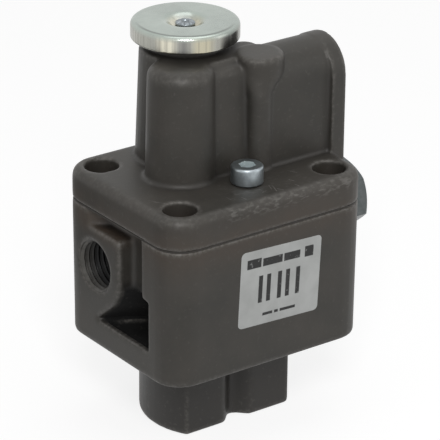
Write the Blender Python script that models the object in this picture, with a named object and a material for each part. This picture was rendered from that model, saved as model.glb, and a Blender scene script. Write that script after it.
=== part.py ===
"""Gearbox control valve: two bolted light-alloy castings with the valve gear inside.

The lower casting is a box with a round foot that carries the tappet, a threaded port on the
left and a hexagon plug on the right. The upper casting is a bolting flange with a tower on it:
a tall round chamber, a round column, a drilled boss, an arched barrel with a second port, and
a vent under a pressed steel cap. Blender units are metres, +Z is up, and the foot stands on
z = 0. The plan is laid out from the middle of the bolt pattern.
"""

import math

import bmesh
import bpy
from mathutils import Matrix, Vector

MM = 0.001

# Clearances between pieces, and the least wall between two hollows
SEAT_GAP = 0.3 * MM
RUNNING_GAP = 0.3 * MM
CORE_WALL = 2.0 * MM
BORE_OVERRUN = 2.0 * MM

# Bolt pattern and the outline that both castings share
BOLT_SPACING_X = 47.5 * MM
BOLT_SPACING_Y = 35.0 * MM
BOLT_HOLE_DIAMETER = 9.0 * MM
BOLT_EDGE = 7.8 * MM
BOLT_COLUMN_WALL = 1.5 * MM

# Heights of the castings
FOOT_HEIGHT = 22.5 * MM
BOX_HEIGHT = 38.15 * MM
FLANGE_THICKNESS = 8.6 * MM
FLANGE_EDGE_ROUND = 2.4 * MM
BOX_TAPER = 0.25 * MM
BOX_EDGE_ROUND = 1.0 * MM

# Foot: a round spigot with a flat front and a smooth groove down the flat's middle
FOOT_RADIUS = 20.0 * MM
FOOT_FLAT_DEPTH = 11.0 * MM
FOOT_GROOVE_WIDTH = 10.0 * MM
FOOT_GROOVE_DEPTH = 3.4 * MM
FOOT_CHAMFER = 0.6 * MM
FOOT_ROOT_FILLET = 0.9 * MM

# Tappet bore in the foot, behind the groove
TAPPET_X = 0.0 * MM
TAPPET_Y = 2.5 * MM
FOOT_BORE_RADIUS = 8.2 * MM
FOOT_BORE_DEPTH = 19.0 * MM
CLIP_GROOVE_HEIGHT = 1.0 * MM
CLIP_THICKNESS = 1.0 * MM
CLIP_WIDTH = 2.0 * MM
CLIP_BITE = 0.6 * MM
TAPPET_RADIUS = 4.5 * MM
TAPPET_RECESS = 0.8 * MM
TAPPET_COLLAR_RADIUS = 6.2 * MM
TAPPET_COLLAR_THICKNESS = 2.0 * MM
TAPPET_SPIGOT_RADIUS = 3.6 * MM
TAPPET_SPIGOT_LENGTH = 3.5 * MM
TAPPET_PIN_RADIUS = 2.0 * MM
SPRING_CHAMBER_RADIUS = 7.4 * MM
TAPPET_SPRING_WIRE = 1.3 * MM
TAPPET_SPRING_TURNS = 4.0

# Valve seat and inlet valve, above the tappet
SEAT_THICKNESS = 4.6 * MM
SEAT_BORE_RADIUS = 2.8 * MM
SEAT_LIP_HEIGHT = 0.9 * MM
SEAT_LIP_WALL = 0.8 * MM
VALVE_CHAMBER_RADIUS = 5.8 * MM
VALVE_CHAMBER_HEIGHT = 9.2 * MM
INLET_DISC_RADIUS = 4.6 * MM
INLET_DISC_THICKNESS = 2.4 * MM
INLET_STEM_RADIUS = 1.8 * MM
INLET_STEM_LENGTH = 1.6 * MM
INLET_SPRING_WIRE = 0.7 * MM
INLET_SPRING_TURNS = 3.5

# Sealing rings: cord thickness of each
TAPPET_SEAL_CORD = 1.6 * MM
SEAT_SEAL_CORD = 1.3 * MM
PISTON_SEAL_CORD = 1.5 * MM
JOINT_SEAL_CORD = 1.5 * MM

# Threaded ports: left face of the lower casting, right end of the barrel
PORT_THREAD_RADIUS = 7.0 * MM
PORT_CORE_RADIUS = 6.2 * MM
PORT_CHAMFER = 0.35 * MM
PORT_DEPTH = 14.0 * MM
LEFT_PORT_Y = 9.9 * MM
LEFT_PORT_DROP = 15.25 * MM
DUCT_RADIUS = 2.2 * MM
LINK_DUCT_RADIUS = 1.8 * MM

# Hollows in the left face of the lower casting
PORT_BOSS_RADIUS = 11.2 * MM
PORT_BOSS_SPREAD = 1.6 * MM
RECESS_SLOT_HEIGHT = 4.6 * MM
RECESS_DEPTH = 5.0 * MM
RECESS_FRONT_Y = -11.2 * MM
RECESS_BACK_Y = 14.0 * MM
RECESS_RUN_OUT = 5.0 * MM
RECESS_FILLET = 1.2 * MM
POCKET_DEPTH = 15.0 * MM
POCKET_FRONT_Y = -14.4 * MM
POCKET_BACK_Y = 10.6 * MM
POCKET_BEVEL_WIDTH = 7.8 * MM
POCKET_BEVEL_RISE = 6.5 * MM
POCKET_FLOOR_RISE = 7.8 * MM
POCKET_HEIGHT = 15.2 * MM
POCKET_ROOF_DROP = 3.8 * MM
POCKET_WALL_SLOPE = 0.6
POCKET_LIP = 2.2 * MM
POCKET_SUMP = 4.6 * MM

# Hexagon plug and the non-return valve behind it, on one level axis
PLUG_Y = 0.0 * MM
PLUG_DROP = 9.05 * MM
PLUG_BOSS_RADIUS = 9.5 * MM
PLUG_BOSS_LENGTH = 3.35 * MM
PLUG_THREAD_RADIUS = 6.0 * MM
PLUG_THREAD_DEPTH = 13.3 * MM
PLUG_SHANK_LENGTH = 11.0 * MM
PLUG_POCKET_DEPTH = 4.0 * MM
PLUG_COLLAR_THICKNESS = 1.6 * MM
PLUG_HEX_LENGTH = 6.4 * MM
PLUG_HEX_FLATS = 17.0 * MM
PLUG_HEX_TURN = 10
PLUG_HEX_CHAMFER = 0.5 * MM
WASHER_THICKNESS = 1.0 * MM
CHECK_BORE_RADIUS = 4.6 * MM
CHECK_BORE_DEPTH = 27.3 * MM
CHECK_SEAT_RADIUS = 2.2 * MM
CHECK_VALVE_LENGTH = 7.0 * MM
CHECK_VALVE_NOSE = 0.8 * MM
CHECK_VALVE_FLATS = 7.8 * MM
CHECK_POCKET_DEPTH = 4.2 * MM
CHECK_SPRING_RADIUS = 2.4 * MM
CHECK_SPRING_WIRE = 0.8 * MM
CHECK_SPRING_TURNS = 6.5

# Ducts that cross the joint between the castings
PILOT_DUCT_X = -0.9 * MM
PILOT_DUCT_Y = 5.2 * MM
OUTLET_DUCT_X = 19.0 * MM
OUTLET_DUCT_Y = -1.1 * MM

# Socket head screw that holds the castings together before they are bolted down
SCREW_X = 0.2 * MM
SCREW_Y = -13.5 * MM
SCREW_RADIUS = 2.5 * MM
SCREW_LENGTH = 20.0 * MM
SCREW_HEAD_RADIUS = 4.25 * MM
SCREW_HEAD_HEIGHT = 4.7 * MM
SCREW_SOCKET_FLATS = 4.0 * MM
SCREW_SOCKET_DEPTH = 2.6 * MM
SCREW_CHAMFER = 0.4 * MM

# Tower on the flange: the tall chamber at the back and the block before it
TOWER_HEIGHT = 30.35 * MM
TOWER_DRAFT = 0.036
CHAMBER_X = -1.4 * MM
CHAMBER_Y = 11.8 * MM
CHAMBER_RADIUS = 13.1 * MM
CHAMBER_EDGE_ROUND = 1.0 * MM
BLOCK_LEFT = -12.0 * MM
BLOCK_RIGHT = 16.0 * MM
BLOCK_FRONT = -4.4 * MM
BLOCK_BACK = 8.0 * MM
BLOCK_CORNER = 5.0 * MM
BLOCK_EDGE_ROUND = 1.2 * MM
BLOCK_DROP = 0.15 * MM
STEP_PROUD = 2.4 * MM
STEP_DROP = 1.6 * MM
STEP_EDGE_ROUND = 2.6 * MM

# Round column at the tower's front left
COLUMN_X = -11.0 * MM
COLUMN_Y = 0.2 * MM
COLUMN_RADIUS = 9.2 * MM
COLUMN_DRAFT = 0.018
COLUMN_EDGE_ROUND = 3.0 * MM
COLUMN_FOOT_FILLET = 0.9 * MM

# Drilled boss: a slender rib that widens to a round head
RIB_X = 8.7 * MM
RIB_Y = -6.6 * MM
RIB_RADIUS = 3.6 * MM
RIB_HEAD_X = 10.8 * MM
RIB_HEAD_Y = -3.8 * MM
RIB_HEAD_RADIUS = 6.5 * MM
RIB_HEAD_RISE = 0.2 * MM
RIB_HEAD_LENGTH = 4.8 * MM
RIB_CONE_LENGTH = 5.0 * MM
RIB_HEAD_ROUND = 1.0 * MM

# Arched barrel along X, and the wider rim at its end
BARREL_Y = -1.1 * MM
BARREL_RADIUS = 8.0 * MM
BARREL_LEFT = 8.7 * MM
RIM_RADIUS = 9.5 * MM
RIM_LENGTH = 4.6 * MM
RIM_OVERHANG = 2.95 * MM
RIM_RISE = 0.15 * MM
PAD_LIFT = 0.5 * MM

# Relay piston in the tall chamber
PISTON_BORE_RADIUS = 9.0 * MM
PISTON_LENGTH = 14.0 * MM
PISTON_CROWN = 6.0 * MM
PISTON_WALL = 1.6 * MM
PISTON_SPRING_WIRE = 1.2 * MM
PISTON_SPRING_TURNS = 6.5

# Vent on top of the tall chamber
VENT_NECK_RADIUS = 10.4 * MM
VENT_NECK_HEIGHT = 1.8 * MM
VENT_WALL = 1.8 * MM
VENT_POST_RADIUS = 3.2 * MM
VENT_DEPTH = 9.0 * MM
VENT_LINK_RADIUS = 1.2 * MM
VENT_LINKS = 3
FLAP_CLEARANCE = 1.75 * MM
FLAP_THICKNESS = 1.0 * MM
SPACER_RADIUS = 3.4 * MM
SPACER_THICKNESS = 0.8 * MM
CAP_RADIUS = 14.25 * MM
CAP_HEIGHT = 4.5 * MM
CAP_SHEET = 0.9 * MM
CAP_EDGE_ROUND = 2.6 * MM
CAP_DIMPLE_RADIUS = 3.4 * MM
CAP_DIMPLE_DEPTH = 1.5 * MM
CAP_DIMPLE_SLOPE = 1.7 * MM
RIVET_RADIUS = 1.3 * MM
RIVET_HEAD_RADIUS = 2.6 * MM
RIVET_HEAD_HEIGHT = 0.8 * MM
RIVET_LENGTH = 8.5 * MM

# Facets
CORNER_STEPS = 6
ROUND_STEPS = 4
CASTING_FACETS = 40
BORE_FACETS = 28
DUCT_FACETS = 16
RING_FACETS = 26
CORD_FACETS = 6
WIRE_FACETS = 5
STEPS_PER_TURN = 12
SHARP_ANGLE = 32

# Levels and half sizes that follow from the dimensions above
HALF_X = BOLT_SPACING_X / 2 + BOLT_EDGE
HALF_Y = BOLT_SPACING_Y / 2 + BOLT_EDGE
BOX_BOTTOM = FOOT_HEIGHT
BOX_TOP = BOX_BOTTOM + BOX_HEIGHT
FLANGE_BOTTOM = BOX_TOP + SEAT_GAP
FLANGE_TOP = FLANGE_BOTTOM + FLANGE_THICKNESS
TOWER_TOP = FLANGE_TOP + TOWER_HEIGHT
TOWER_ROOT = FLANGE_TOP - FLANGE_EDGE_ROUND
NECK_TOP = TOWER_TOP + VENT_NECK_HEIGHT
LEFT_PORT_Z = BOX_TOP - LEFT_PORT_DROP
PLUG_Z = BOX_TOP - PLUG_DROP
POCKET_FLOOR_Z = BOX_BOTTOM + POCKET_FLOOR_RISE
POCKET_TOP_Z = POCKET_FLOOR_Z + POCKET_HEIGHT
VALVE_CHAMBER_TOP = PLUG_Z - CHECK_BORE_RADIUS - CORE_WALL
SPRING_CHAMBER_TOP = VALVE_CHAMBER_TOP - VALVE_CHAMBER_HEIGHT
SEAT_TOP = SPRING_CHAMBER_TOP - SEAT_GAP
SEAT_BOTTOM = SEAT_TOP - SEAT_THICKNESS
SEAT_LIP_TOP = SEAT_TOP + SEAT_LIP_HEIGHT
BUSH_BOTTOM = CLIP_GROOVE_HEIGHT + 2 * SEAT_GAP + CLIP_THICKNESS
BUSH_TOP = FOOT_BORE_DEPTH - SEAT_GAP
COLLAR_BOTTOM = BUSH_TOP + SEAT_GAP
COLLAR_TOP = COLLAR_BOTTOM + TAPPET_COLLAR_THICKNESS
INLET_BOTTOM = SEAT_LIP_TOP + SEAT_GAP
INLET_DISC_TOP = INLET_BOTTOM + INLET_DISC_THICKNESS
BOSS_END_X = HALF_X + PLUG_BOSS_LENGTH
WASHER_X = BOSS_END_X + SEAT_GAP
COLLAR_X = WASHER_X + WASHER_THICKNESS + SEAT_GAP
PLUG_END_X = COLLAR_X + PLUG_COLLAR_THICKNESS + PLUG_HEX_LENGTH
CHECK_SEAT_X = BOSS_END_X - CHECK_BORE_DEPTH
CHECK_VALVE_X = CHECK_SEAT_X + SEAT_GAP
CHECK_POCKET_RADIUS = CHECK_SPRING_RADIUS + CHECK_SPRING_WIRE / 2 + RUNNING_GAP
PISTON_BOTTOM = FLANGE_BOTTOM + SEAT_GAP
VENT_FLOOR = NECK_TOP - VENT_DEPTH
VENT_OUTER_RADIUS = VENT_NECK_RADIUS - VENT_WALL
PISTON_BORE_TOP = VENT_FLOOR - CORE_WALL
RIM_END_X = HALF_X + RIM_OVERHANG
RIM_TOP = TOWER_TOP + RIM_RISE
BARREL_AXIS_Z = RIM_TOP - RIM_RADIUS
FLAP_BOTTOM = NECK_TOP + SEAT_GAP
SPACER_BOTTOM = FLAP_BOTTOM + FLAP_THICKNESS + SEAT_GAP
DIMPLE_BOTTOM = SPACER_BOTTOM + SPACER_THICKNESS + SEAT_GAP
CAP_TOP = DIMPLE_BOTTOM + CAP_SHEET + CAP_DIMPLE_DEPTH
CAP_BOTTOM = CAP_TOP - CAP_HEIGHT
FLAP_RADIUS = CAP_RADIUS - CAP_SHEET - FLAP_CLEARANCE
RIVET_HEAD_BOTTOM = DIMPLE_BOTTOM + CAP_SHEET + SEAT_GAP

# The root empty puts the middle of the whole valve over the origin
MIDDLE_X = (PLUG_END_X - HALF_X) / 2
MIDDLE_Y = (CHAMBER_Y + CAP_RADIUS - HALF_Y) / 2


def clear_scene():
    for obj in list(bpy.data.objects):
        bpy.data.objects.remove(obj, do_unlink=True)


def make_material(name, colour, metallic, roughness):
    mat = bpy.data.materials.new(name)
    mat.use_nodes = True
    shader = mat.node_tree.nodes["Principled BSDF"]
    shader.inputs["Base Color"].default_value = (*colour, 1.0)
    shader.inputs["Metallic"].default_value = metallic
    shader.inputs["Roughness"].default_value = roughness
    return mat


def add_object(name, mesh_data, smooth=True):
    mesh = bpy.data.meshes.new(name)
    mesh_data.to_mesh(mesh)
    mesh_data.free()
    if smooth:
        mesh.shade_smooth()
        mesh.set_sharp_from_angle(angle=math.radians(SHARP_ANGLE))
    obj = bpy.data.objects.new(name, mesh)
    bpy.context.scene.collection.objects.link(obj)
    return obj


def place(obj, location, turn_to_x=False):
    """Puts a piece built about its own +Z axis at a point, along +Z or along +X."""
    if turn_to_x:
        obj.data.transform(Matrix.Rotation(math.radians(90), 4, "Y"))
    obj.location = Vector(location)
    return obj


def arc(centre_x, centre_y, radius, start, end, steps):
    """Points along an arc, angles in degrees, both ends included."""
    points = []
    for i in range(steps + 1):
        angle = math.radians(start + (end - start) * i / steps)
        points.append((centre_x + radius * math.cos(angle), centre_y + radius * math.sin(angle)))
    return points


def rounded_box_outline(low, high, radius, inset=0.0):
    """A rectangle from low to high with round corners, drawn in by inset."""
    x0, y0 = low[0] + inset, low[1] + inset
    x1, y1 = high[0] - inset, high[1] - inset
    r = radius - inset
    corners = ((x1 - r, y1 - r, 0), (x0 + r, y1 - r, 90), (x0 + r, y0 + r, 180), (x1 - r, y0 + r, 270))
    points = []
    for cx, cy, start in corners:
        points += arc(cx, cy, r, start, start + 90, CORNER_STEPS)
    return points


def loft(name, rings, smooth=True):
    """A closed solid through rings of equal length, each a list of 3-D points."""
    mesh = bmesh.new()
    loops = [[mesh.verts.new(point) for point in ring] for ring in rings]
    for lower, upper in zip(loops, loops[1:]):
        count = len(lower)
        for i in range(count):
            j = (i + 1) % count
            mesh.faces.new((lower[i], lower[j], upper[j], upper[i]))
    mesh.faces.new(list(reversed(loops[0])))
    mesh.faces.new(loops[-1])
    bmesh.ops.recalc_face_normals(mesh, faces=mesh.faces)
    return add_object(name, mesh, smooth)


def at_height(outline, z):
    return [(x, y, z) for x, y in outline]


def drafted_block(name, low, high, corner, bottom, top, draft, edge_round):
    """A cast block that narrows upwards and ends in a rounded edge."""
    shoulder = top - edge_round
    rings = [at_height(rounded_box_outline(low, high, corner), bottom)]
    for i in range(ROUND_STEPS + 1):
        angle = math.radians(90 * i / ROUND_STEPS)
        inset = draft * (shoulder - bottom) + edge_round * (1 - math.cos(angle))
        z = shoulder + edge_round * math.sin(angle)
        rings.append(at_height(rounded_box_outline(low, high, corner, inset), z))
    return loft(name, rings)


def turned(name, profile, facets):
    """A solid of revolution about Z from a list of (radius, height) points.

    A profile that starts and ends on the axis is a solid shape, any other is a closed ring.
    """
    mesh = bmesh.new()
    rings = []
    for radius, z in profile:
        if radius == 0:
            rings.append([mesh.verts.new((0, 0, z))])
            continue
        step = 2 * math.pi / facets
        rings.append(
            [
                mesh.verts.new((radius * math.cos(i * step), radius * math.sin(i * step), z))
                for i in range(facets)
            ]
        )
    pairs = list(zip(rings, rings[1:]))
    if len(rings[0]) > 1:
        pairs.append((rings[-1], rings[0]))
    for one, two in pairs:
        for i in range(facets):
            j = (i + 1) % facets
            corners = [one[i % len(one)], one[j % len(one)], two[j % len(two)], two[i % len(two)]]
            unique = list(dict.fromkeys(corners))
            if len(unique) > 2:
                mesh.faces.new(unique)
    bmesh.ops.recalc_face_normals(mesh, faces=mesh.faces)
    return add_object(name, mesh)


def rod(name, radius, bottom, top, facets=BORE_FACETS):
    return turned(name, [(0, bottom), (radius, bottom), (radius, top), (0, top)], facets)


def hexagon(flats, turn=0, inset=0.0):
    """A hexagon by the distance between its flats; with no turn, two of its flats face along Y."""
    return arc(0, 0, flats / math.sqrt(3) - inset, -turn, 300 - turn, 5)


def evaluated_mesh(obj):
    bpy.context.view_layer.update()
    graph = bpy.context.evaluated_depsgraph_get()
    return bpy.data.meshes.new_from_object(obj.evaluated_get(graph))


def combine(target, others, operation):
    """Applies one Boolean step with all the other objects at once, then removes them."""
    group = bpy.data.collections.new("operands")
    for other in others:
        group.objects.link(other)
    modifier = target.modifiers.new(operation.lower(), "BOOLEAN")
    modifier.operation = operation
    modifier.solver = "EXACT"
    modifier.operand_type = "COLLECTION"
    modifier.collection = group
    result = evaluated_mesh(target)
    target.modifiers.clear()
    target.data = result
    for other in others:
        bpy.data.objects.remove(other, do_unlink=True)
    bpy.data.collections.remove(group)


def cut(target, *cutters):
    combine(target, cutters, "DIFFERENCE")


def join(target, *others):
    combine(target, others, "UNION")


def smooth_casting(obj):
    obj.data.shade_smooth()
    obj.data.set_sharp_from_angle(angle=math.radians(SHARP_ANGLE))


def duct(start, end, radius=DUCT_RADIUS):
    """Cutter for a straight cored passage between two points."""
    start, end = Vector(start), Vector(end)
    along = end - start
    passage = rod("duct", radius, 0.0, along.length, DUCT_FACETS)
    passage.data.transform(Vector((0, 0, 1)).rotation_difference(along).to_matrix().to_4x4())
    passage.location = start
    return passage


def bolt_positions():
    for side_x in (-1, 1):
        for side_y in (-1, 1):
            yield side_x * BOLT_SPACING_X / 2, side_y * BOLT_SPACING_Y / 2


def bolt_holes(bottom, top):
    """Cutters for the four through holes."""
    for x, y in bolt_positions():
        hole = rod("bolt_hole", BOLT_HOLE_DIAMETER / 2, bottom - BORE_OVERRUN, top + BORE_OVERRUN)
        yield place(hole, (x, y, 0))


def foot_outline(grown=0.0):
    """The foot seen from above: a circle cut by a flat, with a groove down the flat's middle."""
    edge_angle = math.degrees(math.asin(FOOT_FLAT_DEPTH / FOOT_RADIUS))
    points = arc(0, 0, FOOT_RADIUS, -edge_angle, 180 + edge_angle, CASTING_FACETS)
    half_groove = FOOT_GROOVE_WIDTH / 2
    steps = 2 * CORNER_STEPS
    for i in range(steps + 1):
        x = -half_groove + FOOT_GROOVE_WIDTH * i / steps
        rise = FOOT_GROOVE_DEPTH * (1 + math.cos(math.pi * x / half_groove)) / 2
        points.append((x, -FOOT_FLAT_DEPTH + rise))
    scale = 1 + grown / FOOT_RADIUS
    return [(scale * x, scale * y) for x, y in points]


def make_foot():
    rings = [at_height(foot_outline(-FOOT_CHAMFER), 0.0), at_height(foot_outline(), FOOT_CHAMFER)]
    for i in range(ROUND_STEPS + 1):
        angle = math.radians(90 * i / ROUND_STEPS)
        grown = FOOT_ROOT_FILLET * (1 - math.cos(angle))
        rings.append(at_height(foot_outline(grown), BOX_BOTTOM - FOOT_ROOT_FILLET * (1 - math.sin(angle))))
    rings.append(at_height(foot_outline(FOOT_ROOT_FILLET), BOX_BOTTOM + 2 * BOX_EDGE_ROUND))
    return loft("foot", rings)


def thread_hole():
    """Cutter for a threaded port: core bore, lead-in cone and a conical end."""
    mouth = PORT_THREAD_RADIUS + PORT_CHAMFER
    cone = mouth - PORT_CORE_RADIUS
    profile = [(0, -PORT_DEPTH - PORT_CORE_RADIUS / 2), (PORT_CORE_RADIUS, -PORT_DEPTH)]
    profile += [(PORT_CORE_RADIUS, -cone), (mouth, 0), (mouth, BORE_OVERRUN), (0, BORE_OVERRUN)]
    return turned("thread_hole", profile, BORE_FACETS)


def left_recess():
    """The hollow beside and above the port boss, open at the joint; it runs out gently at the back."""
    outer = -HALF_X - BORE_OVERRUN
    inner = -HALF_X + RECESS_DEPTH
    boss_edge = LEFT_PORT_Y - PORT_BOSS_RADIUS
    boss_top = BOX_TOP - RECESS_SLOT_HEIGHT
    roof = BOX_TOP + BORE_OVERRUN
    floor = POCKET_TOP_Z - POCKET_ROOF_DROP

    def outline(x, inset, run_out):
        front = RECESS_FRONT_Y + inset
        side = boss_edge - inset
        back = RECESS_BACK_Y - run_out
        corners = [(front, floor), (side, floor), (side, boss_top + inset / 2)]
        corners += [(back, boss_top + inset / 2), (back, roof), (front, roof)]
        return [(x, y, z) for y, z in corners]

    step = RECESS_FILLET / 3
    rings = [outline(outer, 0.0, 0.0), outline(-HALF_X, 0.0, 0.0)]
    rings += [outline(inner - RECESS_FILLET, 0.0, RECESS_RUN_OUT - step)]
    rings.append(outline(inner - step, step, RECESS_RUN_OUT))
    rings.append(outline(inner, RECESS_FILLET, RECESS_RUN_OUT + step))
    return loft("left_recess", rings, smooth=False)


def pocket_hollow(name, start, floor, back):
    """A hollow whose roof, back corner and back wall close in on one another as it goes deeper."""
    face = -HALF_X
    roof = POCKET_TOP_Z - POCKET_ROOF_DROP
    side = LEFT_PORT_Y - PORT_BOSS_RADIUS
    rings = []
    stations = ((start, POCKET_TOP_Z), (face + RECESS_DEPTH, roof), (face + POCKET_DEPTH, roof - POCKET_LIP))
    for x, top in stations:
        drawn_in = max(x - face, 0.0) * POCKET_WALL_SLOPE
        corner = (back - POCKET_BEVEL_WIDTH - drawn_in, POCKET_FLOOR_Z + POCKET_BEVEL_RISE)
        outline = [(POCKET_FRONT_Y, floor), (back - drawn_in, floor), (back - drawn_in, POCKET_FLOOR_Z)]
        outline += [corner, (min(side, corner[0]) - RECESS_FILLET, top), (POCKET_FRONT_Y, top)]
        rings.append([(x, y, z) for y, z in outline])
    return loft(name, rings, smooth=False)


def left_pocket():
    """The deep hollow under the port boss: its floor drops behind a lip."""
    step = 0.1 * MM
    pocket = pocket_hollow("left_pocket", -HALF_X - BORE_OVERRUN, POCKET_FLOOR_Z - step, POCKET_BACK_Y)
    sump_floor = POCKET_FLOOR_Z - POCKET_SUMP
    sump = pocket_hollow("sump", -HALF_X + POCKET_LIP, sump_floor, POCKET_BACK_Y - POCKET_LIP)
    wide = PORT_BOSS_RADIUS + PORT_BOSS_SPREAD * POCKET_DEPTH / RECESS_DEPTH
    over = -BORE_OVERRUN * 2
    profile = [(0, over), (PORT_BOSS_RADIUS, over), (PORT_BOSS_RADIUS, 0), (wide, POCKET_DEPTH)]
    profile += [(wide, HALF_X), (0, HALF_X)]
    boss = turned("boss_keep", profile, CASTING_FACETS)
    place(boss, (-HALF_X, LEFT_PORT_Y, LEFT_PORT_Z), turn_to_x=True)
    keep = BOLT_HOLE_DIAMETER / 2 + BOLT_COLUMN_WALL
    column = rod("column_keep", keep, 0.0, BOX_TOP, CASTING_FACETS)
    place(column, (-BOLT_SPACING_X / 2, -BOLT_SPACING_Y / 2, 0))
    join(pocket, sump)
    cut(pocket, boss, column)
    return pocket


def joint_seals():
    """Name, ring radius and centre of the two rings between the castings."""
    around_bore = PISTON_BORE_RADIUS + JOINT_SEAL_CORD / 2 + SEAT_GAP + RUNNING_GAP + PORT_CHAMFER
    around_duct = DUCT_RADIUS + JOINT_SEAL_CORD + SEAT_GAP
    yield "joint_seal_chamber", around_bore, CHAMBER_X, CHAMBER_Y
    yield "joint_seal_outlet", around_duct, OUTLET_DUCT_X, OUTLET_DUCT_Y


def joint_groove(radius, x, y):
    """Cutter for a groove in the lower casting's top that takes a sealing ring."""
    half = JOINT_SEAL_CORD / 2 + SEAT_GAP
    floor = BOX_TOP - JOINT_SEAL_CORD - SEAT_GAP
    over = BOX_TOP + BORE_OVERRUN
    profile = [(radius - half, floor), (radius + half, floor), (radius + half, over), (radius - half, over)]
    return place(turned("joint_groove", profile, RING_FACETS), (x, y, 0))


def tappet_bores():
    """Cutter for the stepped bore up through the foot, with its clip groove."""
    groove = FOOT_BORE_RADIUS + CLIP_BITE + SEAT_GAP
    groove_top = CLIP_GROOVE_HEIGHT + CLIP_THICKNESS + 2 * SEAT_GAP
    profile = [(0, -BORE_OVERRUN), (FOOT_BORE_RADIUS, -BORE_OVERRUN)]
    profile += [(FOOT_BORE_RADIUS, CLIP_GROOVE_HEIGHT), (groove, CLIP_GROOVE_HEIGHT)]
    profile += [(groove, groove_top), (FOOT_BORE_RADIUS, groove_top)]
    profile += [(FOOT_BORE_RADIUS, FOOT_BORE_DEPTH), (SPRING_CHAMBER_RADIUS, FOOT_BORE_DEPTH)]
    profile += [(SPRING_CHAMBER_RADIUS, SPRING_CHAMBER_TOP), (VALVE_CHAMBER_RADIUS, SPRING_CHAMBER_TOP)]
    profile += [(VALVE_CHAMBER_RADIUS, VALVE_CHAMBER_TOP), (0, VALVE_CHAMBER_TOP)]
    return place(turned("tappet_bores", profile, CASTING_FACETS), (TAPPET_X, TAPPET_Y, 0))


def plug_bores():
    """Cutter for the stepped bore behind the hexagon plug."""
    profile = [(0, -CHECK_BORE_DEPTH), (CHECK_BORE_RADIUS, -CHECK_BORE_DEPTH)]
    profile += [(CHECK_BORE_RADIUS, -PLUG_THREAD_DEPTH), (PLUG_THREAD_RADIUS, -PLUG_THREAD_DEPTH)]
    profile += [(PLUG_THREAD_RADIUS, BORE_OVERRUN), (0, BORE_OVERRUN)]
    return place(turned("plug_bores", profile, BORE_FACETS), (BOSS_END_X, PLUG_Y, PLUG_Z), turn_to_x=True)


def make_box():
    """The lower casting's box: it tapers a little to its rounded bottom edge."""
    low, high = (-HALF_X, -HALF_Y), (HALF_X, HALF_Y)
    rings = []
    for i in range(ROUND_STEPS + 1):
        angle = math.radians(90 * i / ROUND_STEPS)
        inset = BOX_TAPER + BOX_EDGE_ROUND * (1 - math.sin(angle))
        z = BOX_BOTTOM + BOX_EDGE_ROUND * (1 - math.cos(angle))
        rings.append(at_height(rounded_box_outline(low, high, BOLT_EDGE, inset), z))
    rings.append(at_height(rounded_box_outline(low, high, BOLT_EDGE), BOX_TOP))
    return loft("lower_housing", rings)


def make_plug_boss():
    """The boss under the plug's washer, cut level with the joint."""
    boss = rod("plug_boss", PLUG_BOSS_RADIUS, -BOLT_EDGE, PLUG_BOSS_LENGTH, CASTING_FACETS)
    place(boss, (HALF_X, PLUG_Y, PLUG_Z), turn_to_x=True)
    outline = rounded_box_outline((0, -HALF_Y), (2 * HALF_X, HALF_Y), BOLT_EDGE)
    above = loft("above_joint", [at_height(outline, BOX_TOP - PAD_LIFT / 2), at_height(outline, 2 * BOX_TOP)])
    cut(boss, above)
    return boss


def lower_ducts():
    """Passages from the left port to the valve chamber, the non-return valve and the joint."""
    level = SPRING_CHAMBER_TOP + VALVE_CHAMBER_HEIGHT / 2
    over = BOX_TOP + BORE_OVERRUN
    port_end = (-HALF_X + PORT_DEPTH, LEFT_PORT_Y, LEFT_PORT_Z - DUCT_RADIUS)
    yield duct(port_end, (TAPPET_X - VALVE_CHAMBER_RADIUS / 2, TAPPET_Y, level))
    chamber_roof = VALVE_CHAMBER_TOP - CORE_WALL / 2
    yield duct((PILOT_DUCT_X, PILOT_DUCT_Y, chamber_roof), (PILOT_DUCT_X, PILOT_DUCT_Y, over))
    pilot_end = (PILOT_DUCT_X - DUCT_RADIUS / 3, PLUG_Y, PLUG_Z)
    yield duct(pilot_end, (CHECK_SEAT_X + BORE_OVERRUN, PLUG_Y, PLUG_Z))
    link_start = (PILOT_DUCT_X, PLUG_Y - LINK_DUCT_RADIUS / 2, PLUG_Z)
    yield duct(link_start, (PILOT_DUCT_X, PILOT_DUCT_Y, PLUG_Z), LINK_DUCT_RADIUS)
    yield duct((OUTLET_DUCT_X, OUTLET_DUCT_Y, PLUG_Z), (OUTLET_DUCT_X, OUTLET_DUCT_Y, over))


def make_lower_housing():
    casting = make_box()
    join(casting, make_foot(), make_plug_boss())

    port = thread_hole()
    port.data.transform(Matrix.Rotation(math.radians(180), 4, "Y"))
    place(port, (-HALF_X, LEFT_PORT_Y, LEFT_PORT_Z), turn_to_x=True)
    depth = FLANGE_TOP + SEAT_GAP - SCREW_LENGTH - BORE_OVERRUN
    tapped = rod("tapped_hole", SCREW_RADIUS + RUNNING_GAP, depth, BOX_TOP + BORE_OVERRUN, DUCT_FACETS)
    place(tapped, (SCREW_X, SCREW_Y, 0))
    grooves = [joint_groove(radius, x, y) for _, radius, x, y in joint_seals()]
    hollows = [left_recess(), left_pocket(), tappet_bores(), plug_bores(), port, tapped]
    cut(casting, *hollows, *grooves, *bolt_holes(BOX_BOTTOM, BOX_TOP), *lower_ducts())
    smooth_casting(casting)
    return casting


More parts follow.
